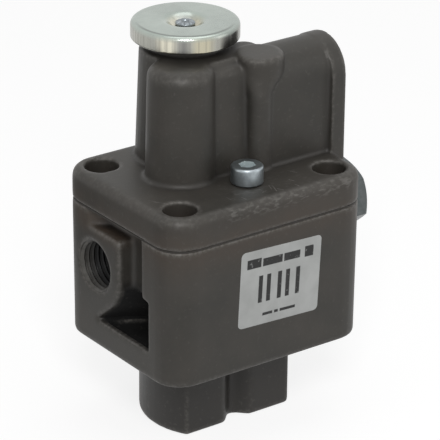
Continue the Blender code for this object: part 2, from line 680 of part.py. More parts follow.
def make_column():
    """Round drafted column with a rounded top and a small fillet at its foot."""
    root = TOWER_ROOT - FLANGE_TOP
    shoulder = TOWER_HEIGHT - COLUMN_EDGE_ROUND
    upper = COLUMN_RADIUS - COLUMN_DRAFT * shoulder
    wide = COLUMN_RADIUS + COLUMN_FOOT_FILLET
    profile = [(0, root), (wide, root)]
    profile += arc(wide, COLUMN_FOOT_FILLET, COLUMN_FOOT_FILLET, 270, 180, ROUND_STEPS)
    profile += arc(upper - COLUMN_EDGE_ROUND, shoulder, COLUMN_EDGE_ROUND, 0, 90, ROUND_STEPS + 1)
    profile.append((0, TOWER_HEIGHT))
    return place(turned("column", profile, CASTING_FACETS), (COLUMN_X, COLUMN_Y, FLANGE_TOP))


def make_chamber():
    """The tall round chamber's outside, with the vent neck on its top."""
    root = TOWER_ROOT - FLANGE_TOP
    shoulder = TOWER_HEIGHT - CHAMBER_EDGE_ROUND
    upper = CHAMBER_RADIUS - TOWER_DRAFT * shoulder
    neck = TOWER_HEIGHT + VENT_NECK_HEIGHT
    profile = [(0, root), (CHAMBER_RADIUS, root), (CHAMBER_RADIUS, 0)]
    profile += arc(upper - CHAMBER_EDGE_ROUND, shoulder, CHAMBER_EDGE_ROUND, 0, 90, ROUND_STEPS)
    profile += [(VENT_NECK_RADIUS, TOWER_HEIGHT), (VENT_NECK_RADIUS, neck), (0, neck)]
    return place(turned("chamber", profile, CASTING_FACETS), (CHAMBER_X, CHAMBER_Y, FLANGE_TOP))


def make_rib_boss():
    """The drilled boss: a slender rib that flows into a wider round head set further back."""
    top = TOWER_TOP + RIB_HEAD_RISE
    head_bottom = top - RIB_HEAD_LENGTH
    rib_top = head_bottom - RIB_CONE_LENGTH
    sections = [(RIB_RADIUS, TOWER_ROOT, 0.0), (RIB_RADIUS, rib_top, 0.0)]
    for share in (0.15, 0.5, 0.85):
        eased = share * share * (3 - 2 * share)
        radius = RIB_RADIUS + (RIB_HEAD_RADIUS - RIB_RADIUS) * eased
        sections.append((radius, rib_top + RIB_CONE_LENGTH * share, eased))
    sections.append((RIB_HEAD_RADIUS, head_bottom, 1.0))
    middle = RIB_HEAD_RADIUS - RIB_HEAD_ROUND
    edge = arc(middle, top - RIB_HEAD_ROUND, RIB_HEAD_ROUND, 0, 90, ROUND_STEPS)
    sections += [(radius, z, 1.0) for radius, z in edge]
    rings = []
    for radius, z, shift in sections:
        x = RIB_X + (RIB_HEAD_X - RIB_X) * shift
        y = RIB_Y + (RIB_HEAD_Y - RIB_Y) * shift
        circle = arc(x, y, radius, 0, 360 - 360 / CASTING_FACETS, CASTING_FACETS - 1)
        rings.append(at_height(circle, z))
    return loft("rib_boss", rings)


def arched_bar(name, radius, top, bottom, left, right):
    """A bar along X with upright sides and an arched top."""
    outline = [(-radius, bottom), (radius, bottom)]
    outline += arc(0, top - radius, radius, 0, 180, 4 * CORNER_STEPS)
    rings = [[(x, BARREL_Y + y, z) for y, z in outline] for x in (left, right)]
    return loft(name, rings)


def make_tower_parts():
    """The block between the round parts, the step on its front, the barrel and its rim."""
    yield drafted_block(
        "tower_block",
        (BLOCK_LEFT, BLOCK_FRONT),
        (BLOCK_RIGHT, BLOCK_BACK),
        BLOCK_CORNER,
        TOWER_ROOT,
        TOWER_TOP - BLOCK_DROP,
        TOWER_DRAFT,
        BLOCK_EDGE_ROUND,
    )
    yield drafted_block(
        "front_step",
        (COLUMN_X, BLOCK_FRONT - STEP_PROUD),
        (RIB_X + RIB_RADIUS, BLOCK_BACK / 2),
        BLOCK_CORNER,
        TOWER_ROOT,
        TOWER_TOP - STEP_DROP,
        TOWER_DRAFT,
        STEP_EDGE_ROUND,
    )
    yield arched_bar("barrel", BARREL_RADIUS, TOWER_TOP, TOWER_ROOT, BARREL_LEFT, RIM_END_X - RIM_LENGTH / 2)
    yield arched_bar("rim", RIM_RADIUS, RIM_TOP, FLANGE_BOTTOM + PAD_LIFT, RIM_END_X - RIM_LENGTH, RIM_END_X)
    yield make_column()
    yield make_rib_boss()
    yield make_chamber()


def make_upper_housing():
    low, high = (-HALF_X, -HALF_Y), (HALF_X, HALF_Y)
    casting = drafted_block(
        "upper_housing", low, high, BOLT_EDGE, FLANGE_BOTTOM, FLANGE_TOP, 0.0, FLANGE_EDGE_ROUND
    )
    join(casting, *make_tower_parts())

    under = FLANGE_BOTTOM - BORE_OVERRUN
    hole = rod("screw_hole", SCREW_RADIUS + RUNNING_GAP, under, FLANGE_TOP + BORE_OVERRUN, DUCT_FACETS)
    piston_bore = rod("piston_bore", PISTON_BORE_RADIUS, under, PISTON_BORE_TOP)
    outlet = duct((OUTLET_DUCT_X, OUTLET_DUCT_Y, under), (OUTLET_DUCT_X, OUTLET_DUCT_Y, BARREL_AXIS_Z))
    port = place(thread_hole(), (RIM_END_X, BARREL_Y, BARREL_AXIS_Z), turn_to_x=True)
    rivet_end = RIVET_HEAD_BOTTOM - RIVET_LENGTH - SEAT_GAP
    over = NECK_TOP + BORE_OVERRUN
    rivet_hole = rod("rivet_hole", RIVET_RADIUS + RUNNING_GAP, rivet_end, over, DUCT_FACETS)
    for bore in (piston_bore, rivet_hole):
        place(bore, (CHAMBER_X, CHAMBER_Y, 0))
    bores = [place(hole, (SCREW_X, SCREW_Y, 0)), piston_bore, outlet, port, rivet_hole]
    cut(casting, *bores, *vent_bores(), *bolt_holes(FLANGE_BOTTOM, FLANGE_TOP))
    smooth_casting(casting)
    return casting


def vent_bores():
    """Cutters for the ring-shaped vent round the rivet's post and its holes to the piston bore."""
    over = NECK_TOP + BORE_OVERRUN
    profile = [(VENT_POST_RADIUS, VENT_FLOOR), (VENT_OUTER_RADIUS, VENT_FLOOR)]
    profile += [(VENT_OUTER_RADIUS, over), (VENT_POST_RADIUS, over)]
    yield place(turned("vent_bore", profile, BORE_FACETS), (CHAMBER_X, CHAMBER_Y, 0))
    pitch = (VENT_POST_RADIUS + VENT_OUTER_RADIUS) / 2
    for i in range(VENT_LINKS):
        angle = 2 * math.pi * i / VENT_LINKS
        x = CHAMBER_X + pitch * math.cos(angle)
        y = CHAMBER_Y + pitch * math.sin(angle)
        yield duct((x, y, PISTON_BORE_TOP - CORE_WALL), (x, y, VENT_FLOOR + CORE_WALL), VENT_LINK_RADIUS)


def make_socket_screw():
    """A socket head cap screw; its thread is left plain."""
    chamfer = SCREW_CHAMFER
    profile = [(0, -SCREW_LENGTH), (SCREW_RADIUS - chamfer, -SCREW_LENGTH)]
    profile += [(SCREW_RADIUS, chamfer - SCREW_LENGTH), (SCREW_RADIUS, 0)]
    profile += [(SCREW_HEAD_RADIUS, 0), (SCREW_HEAD_RADIUS, SCREW_HEAD_HEIGHT - chamfer)]
    profile += [(SCREW_HEAD_RADIUS - chamfer, SCREW_HEAD_HEIGHT), (0, SCREW_HEAD_HEIGHT)]
    screw = turned("flange_screw", profile, RING_FACETS)
    socket = hexagon(SCREW_SOCKET_FLATS)
    floor = SCREW_HEAD_HEIGHT - SCREW_SOCKET_DEPTH
    over = SCREW_HEAD_HEIGHT + BORE_OVERRUN
    cut(screw, loft("socket", [at_height(socket, floor), at_height(socket, over)], smooth=False))
    smooth_casting(screw)
    return place(screw, (SCREW_X, SCREW_Y, FLANGE_TOP + SEAT_GAP))


def make_seal_ring(name, radius, cord, location, turn_to_x=False):
    """A rubber ring of round section."""
    profile = arc(radius, 0, cord / 2, 0, 360 - 360 / CORD_FACETS, CORD_FACETS - 1)
    return place(turned(name, profile, RING_FACETS), location, turn_to_x)


def make_spring(name, radius, wire, bottom, top, turns, location, turn_to_x=False):
    """A compression spring whose end turns lie close."""
    mesh = bmesh.new()
    steps = int(turns * STEPS_PER_TURN)
    height = top - bottom - wire
    rings = []
    for i in range(steps + 1):
        share = i / steps
        angle = 2 * math.pi * turns * share
        rise = bottom + wire / 2 + height * (share - math.sin(2 * math.pi * share) / (2 * math.pi) * 0.6)
        out = Vector((math.cos(angle), math.sin(angle), 0))
        ring = []
        for k in range(WIRE_FACETS):
            around = 2 * math.pi * k / WIRE_FACETS
            point = out * (radius + wire / 2 * math.cos(around))
            ring.append(mesh.verts.new(point + Vector((0, 0, rise + wire / 2 * math.sin(around)))))
        rings.append(ring)
    for one, two in zip(rings, rings[1:]):
        for k in range(WIRE_FACETS):
            m = (k + 1) % WIRE_FACETS
            mesh.faces.new((one[k], one[m], two[m], two[k]))
    mesh.faces.new(list(reversed(rings[0])))
    mesh.faces.new(rings[-1])
    bmesh.ops.recalc_face_normals(mesh, faces=mesh.faces)
    return place(add_object(name, mesh), location, turn_to_x)


def make_retaining_ring():
    """An inside circlip: a split ring with an eye at each end."""
    outer = FOOT_BORE_RADIUS + CLIP_BITE
    inner = outer - CLIP_WIDTH
    half_gap = 20
    eye_angle = 6
    outline = arc(0, 0, outer, -90 + half_gap, 270 - half_gap, RING_FACETS)
    outline += arc(0, 0, inner, 270 - half_gap, -90 + half_gap, RING_FACETS)
    bottom = CLIP_GROOVE_HEIGHT + SEAT_GAP
    ring = loft("retaining_ring", [at_height(outline, bottom), at_height(outline, bottom + CLIP_THICKNESS)])
    middle = (outer + inner) / 2
    eyes = []
    for side in (-1, 1):
        angle = math.radians(-90 + side * (half_gap + eye_angle))
        eye = rod("eye", CLIP_WIDTH / 4, 0.0, bottom + BORE_OVERRUN, 10)
        eyes.append(place(eye, (middle * math.cos(angle), middle * math.sin(angle), 0)))
    cut(ring, *eyes)
    return place(ring, (TAPPET_X, TAPPET_Y, 0))


def tappet_seal_place():
    """Radius and height of the ring that seals the tappet in its bush."""
    radius = TAPPET_RADIUS + RUNNING_GAP + TAPPET_SEAL_CORD / 2
    return radius, (BUSH_BOTTOM + BUSH_TOP) / 2


def make_guide_bush():
    radius = FOOT_BORE_RADIUS - SEAT_GAP
    bore = TAPPET_RADIUS + RUNNING_GAP
    seal_radius, seal_z = tappet_seal_place()
    half = TAPPET_SEAL_CORD / 2 + SEAT_GAP
    chamfer = 0.5 * MM
    profile = [(bore, BUSH_BOTTOM), (radius - chamfer, BUSH_BOTTOM), (radius, BUSH_BOTTOM + chamfer)]
    profile += [(radius, BUSH_TOP), (bore, BUSH_TOP), (bore, seal_z + half)]
    profile += [(seal_radius + half, seal_z + half), (seal_radius + half, seal_z - half)]
    profile.append((bore, seal_z - half))
    return place(turned("guide_bush", profile, BORE_FACETS), (TAPPET_X, TAPPET_Y, 0))


def make_tappet():
    chamfer = 0.8 * MM
    spigot_top = COLLAR_TOP + TAPPET_SPIGOT_LENGTH
    pin_top = INLET_BOTTOM - SEAT_GAP
    profile = [(0, TAPPET_RECESS), (TAPPET_RADIUS - chamfer, TAPPET_RECESS)]
    profile += [(TAPPET_RADIUS, TAPPET_RECESS + chamfer), (TAPPET_RADIUS, COLLAR_BOTTOM)]
    profile += [(TAPPET_COLLAR_RADIUS, COLLAR_BOTTOM), (TAPPET_COLLAR_RADIUS, COLLAR_TOP)]
    profile += [(TAPPET_SPIGOT_RADIUS, COLLAR_TOP), (TAPPET_SPIGOT_RADIUS, spigot_top)]
    profile += [(TAPPET_PIN_RADIUS, spigot_top), (TAPPET_PIN_RADIUS, pin_top), (0, pin_top)]
    return place(turned("tappet", profile, RING_FACETS), (TAPPET_X, TAPPET_Y, 0))


def seat_seal_place():
    """Radius and height of the ring round the valve seat."""
    radius = SPRING_CHAMBER_RADIUS - SEAT_GAP - SEAT_SEAL_CORD / 2
    return radius, (SEAT_BOTTOM + SEAT_TOP) / 2


def make_valve_seat():
    radius = SPRING_CHAMBER_RADIUS - SEAT_GAP
    lip = SEAT_BORE_RADIUS + SEAT_LIP_WALL
    seal_radius, seal_z = seat_seal_place()
    half = SEAT_SEAL_CORD / 2 + SEAT_GAP
    profile = [(SEAT_BORE_RADIUS, SEAT_BOTTOM), (radius, SEAT_BOTTOM), (radius, seal_z - half)]
    profile += [(seal_radius - half, seal_z - half), (seal_radius - half, seal_z + half)]
    profile.append((radius, seal_z + half))
    profile += [(radius, SEAT_TOP), (lip, SEAT_TOP), (lip, SEAT_LIP_TOP), (SEAT_BORE_RADIUS, SEAT_LIP_TOP)]
    return place(turned("valve_seat", profile, BORE_FACETS), (TAPPET_X, TAPPET_Y, 0))


def make_inlet_valve():
    """The valve disc and the short stem that its spring sits round."""
    stem_top = INLET_DISC_TOP + INLET_STEM_LENGTH
    edge = 0.6 * MM
    profile = [(0, INLET_BOTTOM), (INLET_DISC_RADIUS - edge, INLET_BOTTOM)]
    profile += [(INLET_DISC_RADIUS, INLET_BOTTOM + edge), (INLET_DISC_RADIUS, INLET_DISC_TOP)]
    profile += [(INLET_STEM_RADIUS, INLET_DISC_TOP), (INLET_STEM_RADIUS, stem_top), (0, stem_top)]
    return place(turned("inlet_valve", profile, RING_FACETS), (TAPPET_X, TAPPET_Y, 0))


def piston_seal_place():
    """Radius and height of the ring in the relay piston."""
    radius = PISTON_BORE_RADIUS - RUNNING_GAP - PISTON_SEAL_CORD / 2
    return radius, PISTON_BOTTOM + PISTON_CROWN / 2


def make_relay_piston():
    """A cup piston with a ring groove in its solid crown; the spring sits in the cup."""
    radius = PISTON_BORE_RADIUS - RUNNING_GAP
    seal_radius, seal_z = piston_seal_place()
    half = PISTON_SEAL_CORD / 2 + SEAT_GAP
    floor = PISTON_BOTTOM + PISTON_CROWN
    top = PISTON_BOTTOM + PISTON_LENGTH
    cup = radius - PISTON_WALL
    profile = [(0, PISTON_BOTTOM), (radius, PISTON_BOTTOM), (radius, seal_z - half)]
    profile += [(seal_radius - half, seal_z - half), (seal_radius - half, seal_z + half)]
    profile.append((radius, seal_z + half))
    profile += [(radius, top), (cup, top), (cup, floor), (0, floor)]
    return place(turned("relay_piston", profile, RING_FACETS), (CHAMBER_X, CHAMBER_Y, 0))


def make_check_valve():
    """A hollow poppet with four flats that air passes along, built nose down."""
    radius = CHECK_BORE_RADIUS - RUNNING_GAP
    pocket_floor = CHECK_VALVE_LENGTH - CHECK_POCKET_DEPTH
    profile = [(0, 0), (radius - CHECK_VALVE_NOSE, 0), (radius, CHECK_VALVE_NOSE)]
    profile += [(radius, CHECK_VALVE_LENGTH), (CHECK_POCKET_RADIUS, CHECK_VALVE_LENGTH)]
    profile.append((CHECK_POCKET_RADIUS, pocket_floor))
    profile.append((0, pocket_floor))
    poppet = turned("check_valve", profile, RING_FACETS)
    half = CHECK_VALVE_FLATS / 2
    corners = [(half, -radius), (2 * radius, -radius), (2 * radius, radius), (half, radius)]
    flats = []
    for turn in range(4):
        levels = (-BORE_OVERRUN, CHECK_VALVE_LENGTH + BORE_OVERRUN)
        flat = loft("flat", [at_height(corners, z) for z in levels], smooth=False)
        flat.data.transform(Matrix.Rotation(math.radians(45 + 90 * turn), 4, "Z"))
        flats.append(flat)
    cut(poppet, *flats)
    smooth_casting(poppet)
    return place(poppet, (CHECK_VALVE_X, PLUG_Y, PLUG_Z), turn_to_x=True)


def make_hex_plug():
    """A collared plug with a hexagon head and a pocket for the non-return spring."""
    shank = PLUG_THREAD_RADIUS - RUNNING_GAP
    end = -PLUG_SHANK_LENGTH
    chamfer = 0.8 * MM
    profile = [(0, end + PLUG_POCKET_DEPTH), (CHECK_POCKET_RADIUS, end + PLUG_POCKET_DEPTH)]
    profile += [(CHECK_POCKET_RADIUS, end), (shank - chamfer, end), (shank, end + chamfer), (shank, 0)]
    profile += [(PLUG_BOSS_RADIUS, 0), (PLUG_BOSS_RADIUS, PLUG_COLLAR_THICKNESS), (0, PLUG_COLLAR_THICKNESS)]
    plug = turned("hex_plug", profile, BORE_FACETS)

    top = PLUG_COLLAR_THICKNESS + PLUG_HEX_LENGTH
    full = hexagon(PLUG_HEX_FLATS, PLUG_HEX_TURN)
    small = hexagon(PLUG_HEX_FLATS, PLUG_HEX_TURN, PLUG_HEX_CHAMFER)
    rings = [at_height(full, PLUG_COLLAR_THICKNESS / 2), at_height(full, top - PLUG_HEX_CHAMFER)]
    join(plug, loft("head", rings + [at_height(small, top)], smooth=False))
    smooth_casting(plug)
    return place(plug, (COLLAR_X, PLUG_Y, PLUG_Z), turn_to_x=True)


def make_plug_washer():
    bore = PLUG_THREAD_RADIUS + RUNNING_GAP
    profile = [(bore, 0), (PLUG_BOSS_RADIUS, 0)]
    profile += [(PLUG_BOSS_RADIUS, WASHER_THICKNESS), (bore, WASHER_THICKNESS)]
    return place(turned("plug_washer", profile, BORE_FACETS), (WASHER_X, PLUG_Y, PLUG_Z), turn_to_x=True)


def make_vent_cap():
    """Pressed sheet cap: a skirt, a rounded edge and a dimple for the rivet."""
    hole = RIVET_RADIUS + RUNNING_GAP
    dimple = CAP_TOP - CAP_DIMPLE_DEPTH
    brim = CAP_DIMPLE_RADIUS + CAP_DIMPLE_SLOPE
    middle = CAP_RADIUS - CAP_EDGE_ROUND
    edge = arc(middle, CAP_TOP - CAP_EDGE_ROUND, CAP_EDGE_ROUND, 0, 90, ROUND_STEPS)
    inner = arc(middle, CAP_TOP - CAP_EDGE_ROUND, CAP_EDGE_ROUND - CAP_SHEET, 90, 0, ROUND_STEPS)
    profile = [(CAP_RADIUS, CAP_BOTTOM)] + edge + [(brim, CAP_TOP), (CAP_DIMPLE_RADIUS, dimple)]
    profile += [(hole, dimple), (hole, dimple - CAP_SHEET)]
    profile.append((CAP_DIMPLE_RADIUS + SEAT_GAP, dimple - CAP_SHEET))
    profile += [(brim + SEAT_GAP, CAP_TOP - CAP_SHEET)] + inner + [(CAP_RADIUS - CAP_SHEET, CAP_BOTTOM)]
    return place(turned("vent_cap", profile, CASTING_FACETS), (CHAMBER_X, CHAMBER_Y, 0))


def make_cap_rivet():
    """Domed rivet through cap, spacer and flap into the vent's post."""
    profile = [(0, -RIVET_LENGTH), (RIVET_RADIUS, -RIVET_LENGTH), (RIVET_RADIUS, 0), (RIVET_HEAD_RADIUS, 0)]
    for angle in (30, 60):
        rise = math.radians(angle)
        profile.append((RIVET_HEAD_RADIUS * math.cos(rise), RIVET_HEAD_HEIGHT * math.sin(rise)))
    profile.append((0, RIVET_HEAD_HEIGHT))
    return place(turned("cap_rivet", profile, RING_FACETS), (CHAMBER_X, CHAMBER_Y, RIVET_HEAD_BOTTOM))


def make_disc(name, radius, bottom, thickness):
    """A flat disc with a rivet hole: the rubber flap and the spacer under the cap."""
    hole = RIVET_RADIUS + RUNNING_GAP
    profile = [(hole, bottom), (radius, bottom), (radius, bottom + thickness), (hole, bottom + thickness)]
    return place(turned(name, profile, BORE_FACETS), (CHAMBER_X, CHAMBER_Y, 0))


def make_springs():
    axis = (TAPPET_X, TAPPET_Y, 0)
    wire = TAPPET_SPRING_WIRE
    radius = TAPPET_SPIGOT_RADIUS + RUNNING_GAP + wire / 2
    bottom, top = COLLAR_TOP + SEAT_GAP, SEAT_BOTTOM - SEAT_GAP
    yield make_spring("tappet_spring", radius, wire, bottom, top, TAPPET_SPRING_TURNS, axis)

    wire = INLET_SPRING_WIRE
    radius = INLET_STEM_RADIUS + RUNNING_GAP + wire / 2
    bottom, top = INLET_DISC_TOP + SEAT_GAP, VALVE_CHAMBER_TOP - SEAT_GAP
    yield make_spring("inlet_spring", radius, wire, bottom, top, INLET_SPRING_TURNS, axis)

    wire = PISTON_SPRING_WIRE
    radius = PISTON_BORE_RADIUS - RUNNING_GAP - PISTON_WALL - SEAT_GAP - wire / 2
    bottom = PISTON_BOTTOM + PISTON_CROWN + SEAT_GAP
    top = PISTON_BORE_TOP - SEAT_GAP
    axis = (CHAMBER_X, CHAMBER_Y, 0)
    yield make_spring("piston_spring", radius, wire, bottom, top, PISTON_SPRING_TURNS, axis)

    wire = CHECK_SPRING_WIRE
    bottom = CHECK_VALVE_X + CHECK_VALVE_LENGTH - CHECK_POCKET_DEPTH + SEAT_GAP
    top = COLLAR_X - PLUG_SHANK_LENGTH + PLUG_POCKET_DEPTH - SEAT_GAP
    axis = (0, PLUG_Y, PLUG_Z)
    yield make_spring("check_spring", CHECK_SPRING_RADIUS, wire, bottom, top, CHECK_SPRING_TURNS, axis, True)


def make_seals():
    tappet_radius, tappet_z = tappet_seal_place()
    seat_radius, seat_z = seat_seal_place()
    piston_radius, piston_z = piston_seal_place()
    yield make_seal_ring("tappet_seal", tappet_radius, TAPPET_SEAL_CORD, (TAPPET_X, TAPPET_Y, tappet_z))
    yield make_seal_ring("seat_seal", seat_radius, SEAT_SEAL_CORD, (TAPPET_X, TAPPET_Y, seat_z))
    yield make_seal_ring("piston_seal", piston_radius, PISTON_SEAL_CORD, (CHAMBER_X, CHAMBER_Y, piston_z))
    for name, radius, x, y in joint_seals():
        yield make_seal_ring(name, radius, JOINT_SEAL_CORD, (x, y, BOX_TOP - JOINT_SEAL_CORD / 2))


def build():
    clear_scene()
    root = bpy.data.objects.new("valve", None)
    root.location = (-MIDDLE_X, -MIDDLE_Y, 0)
    bpy.context.scene.collection.objects.link(root)

    cast = make_material("cast_alloy", (0.085, 0.080, 0.074), 0.55, 0.5)
    zinc = make_material("zinc_steel", (0.62, 0.64, 0.62), 1.0, 0.32)
    steel = make_material("bright_steel", (0.50, 0.50, 0.51), 1.0, 0.35)
    spring_steel = make_material("spring_steel", (0.30, 0.30, 0.32), 1.0, 0.4)
    brass = make_material("brass", (0.55, 0.42, 0.18), 1.0, 0.35)
    copper = make_material("copper", (0.60, 0.30, 0.18), 1.0, 0.4)
    rubber = make_material("rubber", (0.02, 0.02, 0.02), 0.0, 0.6)

    pieces = [(make_lower_housing(), cast), (make_upper_housing(), cast), (make_socket_screw(), zinc)]
    pieces += [(make_retaining_ring(), spring_steel), (make_guide_bush(), brass), (make_tappet(), steel)]
    pieces += [(make_valve_seat(), brass), (make_inlet_valve(), rubber), (make_relay_piston(), steel)]
    pieces += [(make_check_valve(), brass), (make_hex_plug(), zinc), (make_plug_washer(), copper)]
    pieces += [(make_vent_cap(), zinc), (make_cap_rivet(), zinc)]
    pieces.append((make_disc("vent_flap", FLAP_RADIUS, FLAP_BOTTOM, FLAP_THICKNESS), rubber))
    pieces.append((make_disc("cap_spacer", SPACER_RADIUS, SPACER_BOTTOM, SPACER_THICKNESS), steel))
    pieces += [(spring, spring_steel) for spring in make_springs()]
    pieces += [(seal, rubber) for seal in make_seals()]

    for obj, base in pieces:
        own = base.copy()
        own.name = obj.name
        obj.data.materials.clear()
        obj.data.materials.append(own)
        obj.parent = root
    for base in (cast, zinc, steel, spring_steel, brass, copper, rubber):
        bpy.data.materials.remove(base)


build()
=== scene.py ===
import math

import bmesh
import bpy
import numpy as np
from mathutils import Matrix, Vector


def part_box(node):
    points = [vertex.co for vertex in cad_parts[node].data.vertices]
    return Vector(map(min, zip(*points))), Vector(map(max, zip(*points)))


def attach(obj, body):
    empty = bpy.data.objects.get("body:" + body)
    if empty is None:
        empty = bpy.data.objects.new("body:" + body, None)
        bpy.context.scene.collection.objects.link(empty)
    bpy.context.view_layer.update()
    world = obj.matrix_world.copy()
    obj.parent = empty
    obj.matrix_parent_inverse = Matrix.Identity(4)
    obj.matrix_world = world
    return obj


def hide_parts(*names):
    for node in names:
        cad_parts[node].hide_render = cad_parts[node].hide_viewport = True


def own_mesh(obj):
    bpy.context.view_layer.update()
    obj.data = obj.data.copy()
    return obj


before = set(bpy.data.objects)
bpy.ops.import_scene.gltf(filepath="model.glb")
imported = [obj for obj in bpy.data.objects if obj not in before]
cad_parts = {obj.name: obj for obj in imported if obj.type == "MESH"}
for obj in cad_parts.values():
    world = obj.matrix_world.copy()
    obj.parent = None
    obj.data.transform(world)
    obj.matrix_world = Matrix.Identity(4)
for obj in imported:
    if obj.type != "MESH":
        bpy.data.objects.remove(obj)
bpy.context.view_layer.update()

# The part's lengths are in millimetres and become metres through MM or on_plan(). The studio's
# lengths are in metres, and noise scales are per metre. Places on the part are measured from the
# middle of the bolt pattern; on_plan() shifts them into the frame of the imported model.
MM = 0.001
PLAN_SHIFT = Vector((-6.475, -0.375, 0.0))
BOX_HALF_X = 31.55
BOX_HALF_Y = 25.3
BOX_CORNER = 7.8
BOX_TOP = 60.65
BOX_TAPER = 0.25 / 37.15
FLANGE_BOTTOM = 60.95
# Each port is given by the middle of its mouth. Both have the same thread
LOWER_PORT = (-31.55, 9.9, 45.4)
UPPER_PORT = (34.5, -1.1, 90.55)
THREAD_ROOT = 7.05
THREAD_CREST = 6.25
THREAD_MOUTH = 7.35
THREAD_PITCH = 1.5
THREAD_DEPTH = 12.0


def on_plan(x, y, z):
    """A place in the bolt pattern's plan as a vector in the frame, in metres."""
    return (Vector((x, y, z)) + PLAN_SHIFT) * MM


# ---- mesh tools

def new_piece(name, shape, sharp=35):
    """An object made from a bmesh, smooth except at edges sharper than the given angle."""
    mesh = bpy.data.meshes.new(name)
    shape.to_mesh(mesh)
    shape.free()
    mesh.shade_smooth()
    mesh.set_sharp_from_angle(angle=math.radians(sharp))
    obj = bpy.data.objects.new(name, mesh)
    bpy.context.scene.collection.objects.link(obj)
    return obj


def rounded(corners, steps=5):
    """Rounds the corners of an outline given as (radius, height, length of the rounding).

    A rounding takes less than half of an edge, so two of them never meet.
    """
    most = 0.48
    points = []
    for i, (r, z, reach) in enumerate(corners):
        here = Vector((r, z))
        if not reach:
            points.append((r, z))
            continue
        before = Vector(corners[i - 1][:2]) - here
        after = Vector(corners[(i + 1) % len(corners)][:2]) - here
        start = here + before.normalized() * min(reach, before.length * most)
        end = here + after.normalized() * min(reach, after.length * most)
        for k in range(steps + 1):
            t = k / steps
            point = start * (1 - t) ** 2 + here * 2 * t * (1 - t) + end * t * t
            points.append((point.x, point.y))
    return points


def revolved(name, profile, facets=96, sharp=35):
    """Turns a (radius, height) outline about +Z. It ends on the axis at both ends, or is a ring."""
    shape = bmesh.new()
    turn = 2 * math.pi / facets
    rings = []
    for r, z in profile:
        if r == 0:
            rings.append([shape.verts.new((0, 0, z * MM))])
            continue
        ring = [(r * math.cos(i * turn), r * math.sin(i * turn), z) for i in range(facets)]
        rings.append([shape.verts.new(Vector(p) * MM) for p in ring])
    pairs = list(zip(rings, rings[1:]))
    if len(rings[0]) > 1:
        pairs.append((rings[-1], rings[0]))
    for one, two in pairs:
        for i in range(facets):
            j = (i + 1) % facets
            corners = [one[i % len(one)], one[j % len(one)], two[j % len(two)], two[i % len(two)]]
            unique = list(dict.fromkeys(corners))
            if len(unique) > 2:
                shape.faces.new(unique)
    bmesh.ops.recalc_face_normals(shape, faces=shape.faces)
    return new_piece(name, shape, sharp)


def bridged(shape, pairs):
    """Faces between pairs of rings with the same number of vertices."""
    for one, two in pairs:
        for i in range(len(one)):
            j = (i + 1) % len(one)
            shape.faces.new((one[i], one[j], two[j], two[i]))


def capped(shape, rings):
    """Closes both ends of a row of rings."""
    shape.faces.new(list(reversed(rings[0])))
    shape.faces.new(rings[-1])


def prism(name, outline, low, high):
    """An outline raised from one height to another."""
    shape = bmesh.new()
    rings = [[shape.verts.new(Vector((x, y, z)) * MM) for x, y in outline] for z in (low, high)]
    bridged(shape, zip(rings, rings[1:]))
    capped(shape, rings)
    bmesh.ops.recalc_face_normals(shape, faces=shape.faces)
    return new_piece(name, shape)


def hexagon(flats, turn=0.0):
    """A hexagon's corners from its width across flats."""
    radius = flats / math.sqrt(3)
    angles = [math.radians(60 * i + turn) for i in range(6)]
    return [(radius * math.cos(a), radius * math.sin(a)) for a in angles]


def applied(obj):
    """Puts the result of an object's modifiers into its mesh."""
    bpy.context.view_layer.update()
    graph = bpy.context.evaluated_depsgraph_get()
    mesh = bpy.data.meshes.new_from_object(obj.evaluated_get(graph))
    obj.modifiers.clear()
    obj.data = mesh
    return obj


def combined(obj, other, operation):
    """Cuts, joins or intersects an object with another one, which is used up."""
    step = obj.modifiers.new("combine", "BOOLEAN")
    step.operation = operation
    step.solver = "EXACT"
    step.object = other
    applied(obj)
    bpy.data.objects.remove(other, do_unlink=True)
    return obj


ALONG_X = Matrix.Rotation(math.radians(90), 4, "Y")
AGAINST_X = Matrix.Rotation(math.radians(-90), 4, "Y")


def stood(obj, place, turn=None):
    """Turns a piece built about +Z and puts its origin at a place in the frame."""
    if turn is not None:
        obj.data.transform(turn)
    obj.location = place
    return obj


# ---- materials

def material_of(name, colour, roughness, metallic):
    """A material with its node tree and its shader."""
    material = bpy.data.materials.new(name)
    material.use_nodes = True
    shader = material.node_tree.nodes["Principled BSDF"]
    shader.inputs["Base Color"].default_value = (*colour, 1.0)
    shader.inputs["Roughness"].default_value = roughness
    shader.inputs["Metallic"].default_value = metallic
    return material, material.node_tree, shader


def put(tree, kind, inputs=(), **settings):
    """Adds a node; an input given as a socket is linked, anything else is set."""
    node = tree.nodes.new(kind)
    for key, value in settings.items():
        setattr(node, key, value)
    for key, value in dict(inputs).items():
        if isinstance(value, bpy.types.NodeSocket):
            tree.links.new(value, node.inputs[key])
        else:
            node.inputs[key].default_value = value
    return node.outputs


def noise(tree, where, scale, detail=2.0, roughness=0.5):
    inputs = {"Vector": where, "Scale": scale, "Detail": detail, "Roughness": roughness}
    return put(tree, "ShaderNodeTexNoise", inputs)[0]


def spread(tree, value, low, high, to_low=0.0, to_high=1.0):
    inputs = {"Value": value, "From Min": low, "From Max": high, "To Min": to_low, "To Max": to_high}
    return put(tree, "ShaderNodeMapRange", inputs)[0]


def maths(tree, operation, one, two=0.0):
    return put(tree, "ShaderNodeMath", {0: one, 1: two}, operation=operation)[0]


def blend(tree, share, one, two):
    one = one if isinstance(one, bpy.types.NodeSocket) else (*one, 1.0)
    two = two if isinstance(two, bpy.types.NodeSocket) else (*two, 1.0)
    return put(tree, "ShaderNodeMix", {0: share, 6: one, 7: two}, data_type="RGBA")[2]


def places(tree):
    """Object coordinates in metres, and their three parts."""
    where = put(tree, "ShaderNodeTexCoord")["Object"]
    return where, put(tree, "ShaderNodeSeparateXYZ", {0: where})


